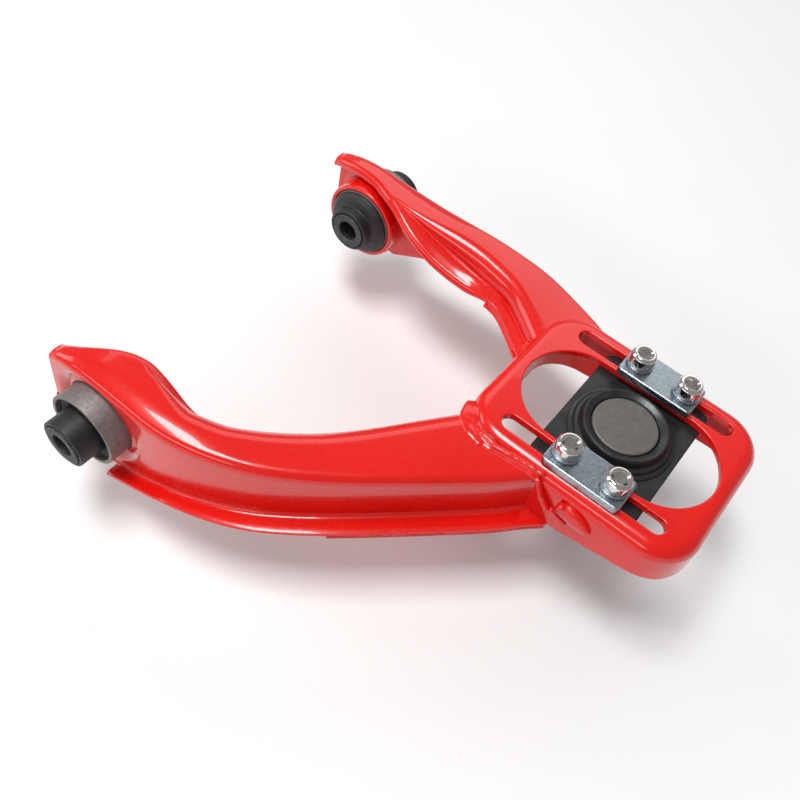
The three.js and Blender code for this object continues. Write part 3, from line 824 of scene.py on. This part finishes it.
def make_arm(arm, name, end, node):
    stations = spread(ARM_START, FLANGE_START - 0.1, 34)
    stations += spread(FLANGE_START + 0.1, 40, 22) + spread(41.5, end, 100)
    piece = sweep(name, arm, stations, sheet_line, SHEET, dished=True)
    place = bush_place(arm["side"])
    bore = lathe("bore", [(0, -40), (COLLAR_INNER, -40), (COLLAR_INNER, 40), (0, 40)], 96, place)
    web_back = BUSH_Y - along(arm["web"], 0) + SHEET
    collar_profile = [
        (COLLAR_INNER - 0.02, web_back - 1.5),
        (COLLAR_INNER - 0.02, SHELL_HALF - 0.6),
        (COLLAR_INNER + 0.5, SHELL_HALF),
        (COLLAR_OUTER - 0.7, SHELL_HALF),
        (COLLAR_OUTER, SHELL_HALF - 0.7),
        (COLLAR_OUTER + 0.1, web_back + 7),
        (COLLAR_OUTER + 0.9, web_back + 4),
        (COLLAR_OUTER + 2.4, web_back + 1.9),
        (COLLAR_OUTER + 2.4, web_back + 0.2),
    ]
    collar = lathe("collar", soften(collar_profile, 0.8), 96, place)
    cut(piece, bore, solver="MANIFOLD")
    cut(piece, collar, operation="UNION", solver="MANIFOLD")
    cut(piece, tray_blank("blank", ARM_BITE), solver="MANIFOLD")
    even_normals(piece)
    return finish_piece(piece, "arm_frame", "red_coat", node)


make_arm(LONG_ARM, "long_arm_shell", LONG_ARM_END, "long_arm_pressing")
make_arm(SHORT_ARM, "short_arm_shell", SHORT_ARM_END, "short_arm_pressing")


def closing_line(arm, x):
    """Middle line of the plate that closes an arm from below."""
    half = SHEET / 2
    under = SHEET + GAP
    bottom = lower_edge(arm, x) + half - under
    ledge = along(arm["top"], x) - half - along(arm["drop"], x) - under
    tip = along(arm["tip"], x) + 1.2
    corners = [
        (half - FLANGE_WIDTH - 1.2, bottom), (1, bottom), (4, bottom + 0.8), (tip - 12, ledge - 1.6),
        (tip - 8, ledge), (tip, ledge),
    ]
    return soften(corners, 3.0, closed=False)


def make_closing_plate(arm, name, start, end, node):
    piece = sweep(name, arm, spread(start, end, 44), closing_line, SHEET - 0.4)
    cut(piece, tray_blank("blank", ARM_BITE), solver="MANIFOLD")
    even_normals(piece)
    return finish_piece(piece, "arm_frame", "red_coat", node)


make_closing_plate(LONG_ARM, "long_arm_floor", 112, 192, "long_arm_closing_plate")
make_closing_plate(SHORT_ARM, "short_arm_floor", 96, 166, "short_arm_closing_plate")

# ---- welds


def bead(path, radius, pitch=4.0, seed=0.0, squash=0.75, ripple_depth=0.14):
    """Points and faces of a rippled bead along a path of Vectors."""
    sides = 12
    points = []
    length = 0.0
    for i, here in enumerate(path):
        if i:
            length += (here - path[i - 1]).length
        ahead = (path[min(i + 1, len(path) - 1)] - path[max(i - 1, 0)]).normalized()
        level = ahead.cross(Vector((0, 0, 1)))
        level = level.normalized() if level.length > 1e-3 else Vector((1, 0, 0))
        above = level.cross(ahead)
        ripple = 1 - ripple_depth + ripple_depth * math.sin(math.pi * length / pitch + seed) ** 2
        ends = min(1.0, 0.35 + i * 0.3, 0.35 + (len(path) - 1 - i) * 0.3)
        for k in range(sides):
            angle = 2 * math.pi * k / sides
            wobble = 1 + 0.2 * noise.noise(here * 0.2 + Vector((seed, 0, 0)))
            size = radius * ripple * ends * wobble
            offset = level * math.cos(angle) * size + above * math.sin(angle) * size * squash
            points.append(here + offset)
    return points, ring_faces(len(path), sides)


MELT_VOXEL = 0.5
MELT_PASSES = 6


def melt(name, beads):
    """Runs several beads together into one smooth lumpy weld."""
    points = []
    faces = []
    for some_points, some_faces in beads:
        base = len(points)
        points += some_points
        faces += [tuple(base + k for k in face) for face in some_faces]
    piece = to_object(name, points, faces)
    change = piece.modifiers.new("melt", "REMESH")
    change.mode = "VOXEL"
    change.voxel_size = MELT_VOXEL * MM
    ease = piece.modifiers.new("ease", "SMOOTH")
    ease.iterations = MELT_PASSES
    ease.factor = 0.5
    settle(piece)
    tidy_mesh(piece, 180)
    return finish_piece(piece, "arm_frame", "red_coat")


def resample(path, step=0.7):
    """Points at even steps along a smooth curve through a few places."""
    places = [Vector(p) for p in path]
    dense = []
    for i in range(len(places) - 1):
        p0 = places[max(i - 1, 0)]
        p1, p2 = places[i], places[i + 1]
        p3 = places[min(i + 2, len(places) - 1)]
        steps = max(int((p2 - p1).length / step), 1)
        for k in range(steps):
            t = k / steps
            dense.append(
                0.5 * (
                    2 * p1 + (p2 - p0) * t + (2 * p0 - 5 * p1 + 4 * p2 - p3) * t ** 2
                    + (3 * p1 - p0 - 3 * p2 + p3) * t ** 3
                )
            )
    dense.append(places[-1])
    return dense


# each row is the bead's path, then its radius, pitch, seed, squash and depth of ripple
NEAR_WELDS = (
    (((133.4, 12, 20.5), (133.2, 7, 23.2), (135.8, 0.6, 23.7), (139.8, -3.6, 23.8), (145.5, -6.0, 23.8),
      (151, -6.5, 23.8)), 3.6, 6.5, 0.3, 0.5, 0.07),
    (((134.6, 14, 21), (136.4, 7.5, 23.8), (140.4, 1.8, 24.2), (146.5, -2.2, 24.3),
      (153, -3.8, 24.3)), 3.2, 6.0, 1.1, 0.55, 0.07),
    (((143, -5.6, 24.0), (155, -5.4, 23.9), (165, -4.0, 23.8), (175, -2.8, 23.6),
      (181, -2.8, 22.8)), 3.4, 5.8, 1.7, 0.52, 0.08),
    (((145.5, -1.6, 25.6), (150.5, -3.3, 25.8), (156, -3.2, 25.9)), 1.9, 4.5, 2.6, 0.7),
    (((154, -5.4, 26.2), (164, -4.0, 26.3), (174, -2.6, 26.1), (183, -1.6, 25.7)), 1.5, 4.2, 0.4, 0.75),
    (((180.5, -4.0, 24), (183.5, -4.9, 19), (187, -5.2, 14), (192, -5.0, 8.5)), 2.2, 4.6, 0.9, 0.8),
    (((131.4, 11, 21), (131.2, 14.5, 15.5), (131, 18, 11), (131, 27, 9.4)), 1.8, 4.8, 1.2, 0.7),
)
FAR_WELDS = (
    (((131, 70, 21), (130.4, 66, 16), (130.6, 60, 13.4), (130.8, 52, 12.6)), 1.8, 4.8, 0.2, 0.7),
    (((129.6, 78, 21.8), (130.2, 72, 21.6), (130.8, 66, 20.5)), 1.3, 3.6, 0.6, 0.7),
    (((160, 99.6, 22), (162, 100.3, 12), (162, 100.3, 0), (161.5, 100, -8)), 1.8, 4.8, 1.1, 0.7),
)
TONGUE_WELDS = (
    (((194.6, -5.2, 17.2), (196.6, -5.8, 18.6), (199, -5.4, 19.2)), 2.4, 5, 0.3),
    (((192, -4.4, 10.4), (197, -4.8, 8.6), (203, -4.8, 7.6)), 1.2, 4.4, 1.3),
)


def make_weld(name, rows):
    melt(name, [bead(resample(path), *look) for path, *look in rows])


make_weld("tray_weld_near", NEAR_WELDS)
make_weld("tray_weld_far", FAR_WELDS)


def edge_path(arm, start, end, inwards_by, above_edge, count=60):
    """Places along an arm's lower edge."""
    path = []
    for x in spread(start, end, count):
        origin, inwards = web_frame(arm, x)
        place = origin + inwards * inwards_by
        path.append(Vector((place.x, place.y, lower_edge(arm, x) + above_edge)))
    return resample(path, 0.8)


def make_seams():
    outer = SHEET / 2 - FLANGE_WIDTH + 0.4
    beads = [
        bead(edge_path(LONG_ARM, 116, 181, outer - 1.6, -0.1), 1.35, pitch=4.2, seed=0.4),
        bead(edge_path(LONG_ARM, 126, 142, outer - 0.6, 0.9, 20), 1.1, pitch=3.0, seed=1.4),
        bead(edge_path(LONG_ARM, 150, 158, outer - 0.4, 1.2, 12), 1.2, pitch=3.0, seed=2.4),
    ]
    melt("floor_seam_near", beads)
    beads = [bead(edge_path(SHORT_ARM, 100, 158, outer - 1.6, -0.1), 1.35, pitch=4.0, seed=0.8)]
    melt("floor_seam_far", beads)


make_seams()


def inner_seam(arm, start, end, name, seed):
    """The bead between an arm's inner ledge and its closing plate."""
    path = []
    for x in spread(start, end, 50):
        origin, inwards = web_frame(arm, x)
        place = origin + inwards * (along(arm["tip"], x) + 1.0)
        ledge = along(arm["top"], x) - along(arm["drop"], x) - SHEET
        path.append(Vector((place.x, place.y, ledge)))
    melt(name, [bead(resample(path, 0.8), 1.3, pitch=4.4, seed=seed)])


inner_seam(LONG_ARM, 114, 152, "inner_seam_near", 0.5)
inner_seam(SHORT_ARM, 98, 140, "inner_seam_far", 1.5)


def make_tongue():
    """The small tongue on the near skirt, a domed leaf with weld at its inboard end and below it."""
    leaf = [
        (193.4, 13.4), (195.2, 18.6), (200, 20.6), (206, 19.4), (211, 15.8), (215, 11.2), (211.5, 9),
        (206, 8.8), (199.5, 10.2),
    ]
    outline = soften(leaf, 2.6, 5)
    middle = Vector((203.5, 14.6))

    def ring_at(shrink, y):
        ring = []
        for x, z in outline:
            place = middle + (Vector((x, z)) - middle) * shrink
            ring.append((place.x, y, place.y))
        return ring

    back = TRAY["near"] + 0.4
    rings = [ring_at(1.0, back), ring_at(1.0, back - 1.2)]
    for k in range(1, 9):
        angle = math.pi / 2 * k / 9
        rings.append(ring_at(math.cos(angle) ** 0.8, back - 1.2 - 2.6 * math.sin(angle)))
    tongue = stack("skirt_tongue", rings)
    tidy_mesh(tongue, 60)
    finish_piece(tongue, "arm_frame", "red_coat", "skirt_gusset_tab")
    make_weld("tongue_weld", TONGUE_WELDS)


make_tongue()

# ---- bushes


SLEEVE_HALF = 27.0
TOOTH_DEPTH = 0.22
TOOTH_COUNT = 28


def serrated(radius, height, angle):
    """Fine radial teeth on the two end faces of a pivot sleeve."""
    if abs(height) > SLEEVE_HALF - 0.05 and 7.0 < radius < 10.0:
        tooth = TOOTH_DEPTH * (0.5 + 0.5 * math.cos(TOOTH_COUNT * angle))
        return -math.copysign(tooth, height)
    return 0.0


def make_bush(arm_name, side):
    place = bush_place(side)
    ends = []
    for sign in (-1, 1):
        flat = [(radius, SLEEVE_HALF) for radius in (6.75, 7.2, 7.6, 8.5, 9.4, 9.8, 10.2)]
        face = [(6.15, 26.4), *flat, (10.6, 26.5)]
        rows = [(radius, sign * height) for radius, height in face]
        ends.append(rows if sign < 0 else rows[::-1])
    sleeve = lathe(f"{arm_name}_pivot_sleeve", ends[0] + ends[1], 168, place, serrated)
    body = f"{arm_name}_bush_core"
    finish_piece(sleeve, body, "dark_steel", f"{arm_name}_bush_inner_sleeve")

    rubber_profile = [
        (10.9, -26.2), (12.9, -26.2), (12.9, -12.2), (13.6, -10.6), (15.4, -10.2), (17.7, -12.4),
        (17.7, SHELL_HALF + 0.1), (19.7, SHELL_HALF + 0.1), (19.7, 16.6), (17.2, 19.2), (12.9, 20.5),
        (12.9, 26.2), (10.9, 26.2),
    ]
    rubber = lathe(f"{arm_name}_rubber", soften(rubber_profile, 0.8, 4), 120, place)
    finish_piece(rubber, "arm_frame", "bush_rubber", f"{arm_name}_bush_rubber")

    shell_profile = [
        (18.0, -SHELL_HALF), (SHELL_RADIUS, -SHELL_HALF), (SHELL_RADIUS, SHELL_HALF), (18.0, SHELL_HALF),
    ]
    shell = lathe(f"{arm_name}_outer_shell", soften(shell_profile, 0.45), 144, place)
    finish_piece(shell, "arm_frame", "bare_steel", f"{arm_name}_bush_outer_sleeve")


make_bush("long_arm", -1)
make_bush("short_arm", 1)

# ---- ball joint

PLATE_TOP = TRAY["top"] - TRAY["sheet"] - GAP
PLATE_THICKNESS = 6
PLATE_HALF = (30.1, 42.5)
SCREW_HALF = 13.44
PIN_DROP = 52.4


def at_joint(point):
    return (point[0] + JOINT[0], point[1] + JOINT[1], point[2])


def screw_places():
    for side_name, side in (("near", -1), ("far", 1)):
        for end_name, end in (("inboard", -1), ("outboard", 1)):
            yield f"{side_name}_{end_name}", JOINT[0] + end * SCREW_HALF, JOINT[1] + side * SLOT_OFFSET


def make_housing():
    outline = plate_outline(*JOINT, *PLATE_HALF, 6)
    flange = slab("joint_flange", outline, PLATE_TOP - PLATE_THICKNESS, PLATE_TOP, 0.6)
    holes = [cylinder("hole", 4.2, 0, 40, 40, (x, y)) for _, x, y in screw_places()]
    holes.append(cylinder("core", 18, 0, 40, 96, JOINT))
    cut(flange, *holes)
    even_normals(flange)
    finish_piece(flange, "joint_carriage", "black_oxide", "ball_joint_housing")

    profile = [
        (14.6, 1.6), (19.2, 1.6), (19.2, 7.1), (21.4, 8.6), (25.4, PLATE_TOP - 3),
        (27.6, PLATE_TOP - 1), (27.6, PLATE_TOP + 0.9), (25.4, PLATE_TOP + 1.2),
        (24.8, PLATE_TOP + 2.9), (22.9, PLATE_TOP + 3.4),
        (22.2, 29.2), (21.5, 30.6), (20.5, 30.6), (18.6, 29.6), (17.4, 28.9), (17.2, 27.1), (17, 27),
        (17, 4),
    ]
    cup = lathe("joint_cup", soften(profile, 0.6, 5), 144, at_joint)
    finish_piece(cup, "joint_carriage", "black_oxide")

    disc_profile = [(0, 27.4), (16.8, 27.4), (16.8, 29.1), (15.9, 29.5), (0, 29.5)]
    disc = lathe("joint_disc", soften(disc_profile, 0.4, 3, closed=False), 120, at_joint)
    finish_piece(disc, "joint_carriage", "grey_disc", "joint_cover_disc")


make_housing()


BALL_RADIUS = 13.5
BALL_HEIGHT = 12.5


def make_stud():
    ball = []
    for k in range(29):
        angle = math.radians(27 + 111 * k / 28)
        ball.append((BALL_RADIUS * math.sin(angle), BALL_HEIGHT - BALL_RADIUS * math.cos(angle)))
    shank = soften(
        [
            (0, -59), (4.9, -59), (5.9, -57.8), (5.9, -39), (7.6, -20), (7.0, -18.5), (5.6, -11),
            (5.6, 0.2),
        ],
        0.6, 3, closed=False,
    )
    stud = lathe("taper_stud", shank + ball + [(0, ball[-1][1])], 72, at_joint)
    cross = lathe("cross_hole", [(0, -20), (1.8, -20), (1.8, 20), (0, 20)], 24,
                  lambda p: at_joint((p[2], p[1], p[0] - PIN_DROP)))
    cut(stud, cross)
    even_normals(stud)
    finish_piece(stud, "stud", "stud_steel", "ball_stud")


make_stud()


NUT_ACROSS = 18.5


def make_nut():
    angles = [math.radians(60 * k + 30) for k in range(6)]
    hexagon = circle(JOINT, NUT_ACROSS / math.sqrt(3), angles)
    nut = prism("castellated_nut", hexagon, -50, -41)
    chamfer_profile = [(0, -50.2), (10.7, -50.2), (10.7, -42.2), (9.4, -41), (0, -41)]
    cut(nut, lathe("chamfer", chamfer_profile, 72, at_joint), operation="INTERSECT")
    cut(nut, cylinder("crown", 8.6, -56, -49.5, 72, JOINT), operation="UNION")
    tools = [cylinder("thread", 6.2, -90, 0, 48, JOINT)]
    for k in range(3):
        angle = math.radians(60 * k)
        way = Vector((math.cos(angle), math.sin(angle)))
        tools.append(prism("notch", bar_outline(JOINT, way, -20, 20, 2), -57, -50))
    cut(nut, *tools)
    round_edges(nut, 0.3, 2, 40)
    finish_piece(nut, "stud", "zinc_plate", "castle_nut")


make_nut()


def tube(path, radius, sides=12):
    points = []
    for i, here in enumerate(path):
        ahead = (path[min(i + 1, len(path) - 1)] - path[max(i - 1, 0)]).normalized()
        level = ahead.cross(Vector((0, 1, 0))).normalized()
        above = level.cross(ahead)
        for k in range(sides):
            angle = 2 * math.pi * k / sides
            points.append(here + (level * math.cos(angle) + above * math.sin(angle)) * radius)
    return points, ring_faces(len(path), sides)


EYE_RADIUS = 2.6
# how far the eye leans sideways, as a share of its height
EYE_LEAN = 0.001


def make_pin():
    """A split pin: an eye on one side, and on the other its ends bent down."""
    path = [
        (-11.5, 0), (-6, 0), (0, 0), (4, 0), (8, 0), (11.6, -0.8), (12.4, -4), (12.2, -8),
    ]
    places = resample([at_joint((x, 0, z - PIN_DROP)) for x, z in path], 0.6)
    points, faces = tube(places, 1.35)
    pin = to_object("split_pin", points, faces, 60)
    finish_piece(pin, "stud", "zinc_plate", "cotter_pin")
    eye = []
    for k in range(33):
        angle = 2 * math.pi * k / 32
        x = -13.6 + EYE_RADIUS * math.cos(angle)
        y = EYE_RADIUS * math.sin(angle) * EYE_LEAN
        z = -PIN_DROP + EYE_RADIUS * math.sin(angle)
        eye.append(Vector(at_joint((x, y, z))))
    points, faces = tube(eye[:-1] + [eye[0]], 1.2)
    finish_piece(to_object("split_pin_eye", points, faces, 60), "stud", "zinc_plate")


make_pin()


def make_boot():
    """The bellows, in two pieces cut apart at one height."""
    outer = [
        (21.2, 6.6), (21.5, 3.4), (21, 1), (22.7, -2), (22.9, -5.5), (21.3, -8.4), (20.0, -9.2),
        (19.6, -10.4), (17.4, -12.4), (14.6, -13.2), (12.6, -14.8), (10.9, -15.6), (10.9, -18.4),
    ]
    inner = [
        (9.2, -18.4), (9.2, -14.8), (11.8, -13.2), (16.4, -11), (20, -7.8), (21.3, -5.2), (21, -2.4),
        (19.7, -0.2), (19.7, 6.6),
    ]
    outline = soften(outer + inner, 0.9, 4)
    split = -7.0
    upper = lathe("dust_boot_upper", clip(outline, split, True), 96, at_joint)
    lower = lathe("dust_boot_lower", clip(outline, split, False), 96, at_joint)
    for piece in (upper, lower):
        piece.data.materials.append(MATERIALS["boot_rubber"])
    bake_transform(upper)
    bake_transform(lower)
    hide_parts("dust_boot")
    upper_ring = lathe("boot_wire_upper", wire(21.9, 4.2, 0.75), 120, at_joint)
    finish_piece(upper_ring, "joint_carriage", "stud_steel", "boot_upper_ring")
    lower_ring = lathe("boot_wire_lower", wire(11.2, -17.1, 0.7), 96, at_joint)
    finish_piece(lower_ring, "boot_foot", "stud_steel", "boot_lower_ring")


def clip(outline, height, keep_above):
    """The part of a closed outline on one side of a height."""
    kept = []
    for i, (radius, z) in enumerate(outline):
        next_radius, next_z = outline[(i + 1) % len(outline)]
        inside = z >= height if keep_above else z <= height
        next_inside = next_z >= height if keep_above else next_z <= height
        if inside:
            kept.append((radius, z))
        if inside != next_inside:
            t = (height - z) / (next_z - z)
            kept.append((radius + (next_radius - radius) * t, height))
    return kept


def wire(radius, height, thickness):
    return circle((radius, height), thickness, even_angles(16))


make_boot()

# ---- clamps and screws

STACK_GAP = 0.15
CLAMP_THICKNESS = 4.7
CLAMP_HALF = (21.2, 10.2)
WASHER_THICKNESS = 1.6
WASHER_RADII = (4.3, 7.2)
HEAD_HEIGHT = 7
HEAD_RADIUS = 6.5
SHANK_LENGTH = 19.5
SHANK_RADIUS = 3.9
SOCKET_CORNER = 3.7
SOCKET_DEPTH = 4.6
CLAMP_LOW = TRAY["top"] + STACK_GAP
CLAMP_HIGH = CLAMP_LOW + CLAMP_THICKNESS
WASHER_LOW = CLAMP_HIGH + STACK_GAP
WASHER_HIGH = WASHER_LOW + WASHER_THICKNESS
HEAD_LOW = WASHER_HIGH + STACK_GAP
HEAD_HIGH = HEAD_LOW + HEAD_HEIGHT
# the plain ticks on a head's rim, in degrees
TICKS = (10, 24, 38, 110, 124, 200, 214, 228, 300, 314)


def make_clamp(side_name, side):
    middle = JOINT[1] + side * SLOT_OFFSET
    outline = plate_outline(JOINT[0], middle, *CLAMP_HALF, 2.6)
    clamp = slab(f"{side_name}_clamp", outline, CLAMP_LOW, CLAMP_HIGH, 0.9, 5)
    holes = []
    for end in (-1, 1):
        holes.append(cylinder("hole", 4.4, 20, 40, 40, (JOINT[0] + end * SCREW_HALF, middle)))
    cut(clamp, *holes)
    even_normals(clamp)
    finish_piece(clamp, "joint_carriage", "zinc_plate", f"{side_name}_clamp_plate")


def make_screw(name, x, y, turn):
    def here(point):
        return (point[0] + x, point[1] + y, point[2])

    profile = [
        (0, HEAD_LOW - SHANK_LENGTH), (3.2, HEAD_LOW - SHANK_LENGTH), (SHANK_RADIUS, HEAD_LOW - 18.7),
        (SHANK_RADIUS, HEAD_LOW + 0.4), (4.4, HEAD_LOW), (6.35, HEAD_LOW),
        (HEAD_RADIUS, HEAD_LOW + 0.4), (HEAD_RADIUS, HEAD_HIGH - 1.3), (5.3, HEAD_HIGH),
        (0, HEAD_HIGH),
    ]
    screw = lathe(f"{name}_screw", soften(profile, 0.35, 3, closed=False), 96, here)
    angles = [math.radians(60 * k) + turn for k in range(6)]
    hexagon = circle((x, y), SOCKET_CORNER, angles)
    tools = [prism("socket", hexagon, HEAD_HIGH - SOCKET_DEPTH, HEAD_HIGH + 5)]
    mouth = [
        (0, HEAD_HIGH - 1.1), (3.2, HEAD_HIGH - 1.1), (4.6, HEAD_HIGH + 0.2), (0, HEAD_HIGH + 0.2),
    ]
    tools.append(lathe("mouth", mouth, 48, here))
    for degrees in TICKS:
        angle = turn + math.radians(degrees)
        outward = Vector((math.cos(angle), math.sin(angle)))
        tick = bar_outline((x, y), outward, 5.35, 7, 0.22)
        tools.append(prism("tick", tick, HEAD_HIGH - 0.75, HEAD_HIGH + 1))
    cut(screw, *tools)
    even_normals(screw, 32)
    finish_piece(screw, "joint_carriage", "bright_chrome", f"{name}_cap_screw")

    bore, rim = WASHER_RADII
    ring = [(bore, WASHER_LOW), (rim, WASHER_LOW), (rim, WASHER_HIGH), (bore, WASHER_HIGH)]
    washer = lathe(f"{name}_washer", soften(ring, 0.3), 96, here)
    way = Vector((math.cos(turn + 0.5), math.sin(turn + 0.5)))
    split = bar_outline((x, y), way, 2, 9, 0.5)
    cut(washer, prism("split", split, WASHER_LOW - 1, WASHER_LOW + 3))
    even_normals(washer)
    finish_piece(washer, "joint_carriage", "zinc_plate", f"{name}_lock_washer")


make_clamp("near", -1)
make_clamp("far", 1)
for index, (screw_name, screw_x, screw_y) in enumerate(screw_places()):
    make_screw(screw_name, screw_x, screw_y, turn=0.3 + index * 0.7)

# the hidden pieces that keep their CAD shape
for node_name, slot_name in (
    ("preload_spring_washer", "dark_steel"),
    ("upper_ball_seat", "seat_polymer"),
    ("lower_ball_seat", "seat_polymer"),
):
    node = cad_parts[node_name]
    if not node.material_slots:
        node.data.materials.append(MATERIALS[slot_name])
    for material_slot in node.material_slots:
        material_slot.material = MATERIALS[slot_name]

# ---- floor and light


FLOOR_HALF = 4000


def make_floor_sheet():
    """The floor, level with the lowest point of the CAD model, in millimetres as all meshes are."""
    low = cad_box[0][2] * 1000
    half = FLOOR_HALF
    points = [(-half, -half, low), (half, -half, low), (half, half, low), (-half, half, low)]
    floor = to_object("floor", points, [(0, 1, 2, 3)])
    pale = shade("pale_floor", (0.86, 0.86, 0.86), (0.88, 0.88, 0.88), mix_scale=4, roughness=0.9,
                 grain_scale=60, grain_depth=0.0)
    floor.data.materials.append(pale)


make_floor_sheet()


def soft_light(name, place, aim, size, power):
    data = bpy.data.lights.new(name, "AREA")
    data.shape = "RECTANGLE"
    data.size, data.size_y = size
    data.energy = power
    light = add_object(name, data)
    light.location = Vector(place)
    direction = Vector(aim) - Vector(place)
    light.rotation_mode = "QUATERNION"
    light.rotation_quaternion = direction.to_track_quat("-Z", "Y")


CENTRE = (0.12, 0.0, 0.0)
soft_light("key_panel", (-0.25, -0.36, 2.0), CENTRE, (0.9, 0.6), 31)
soft_light("front_strip", (-0.35, -2.0, 1.15), CENTRE, (2.4, 0.3), 13)
soft_light("back_panel", (-0.85, 1.75, 1.55), CENTRE, (2.6, 1.1), 12)
soft_light("left_panel", (-2.0, -0.6, 1.0), CENTRE, (0.8, 1.2), 9)

world = bpy.data.worlds.new("studio")
world.use_nodes = True
world.node_tree.nodes["Background"].inputs["Color"].default_value = (1, 1, 1, 1)
world.node_tree.nodes["Background"].inputs["Strength"].default_value = 0.29
bpy.context.scene.world = world
bpy.context.scene.view_settings.view_transform = "Standard"
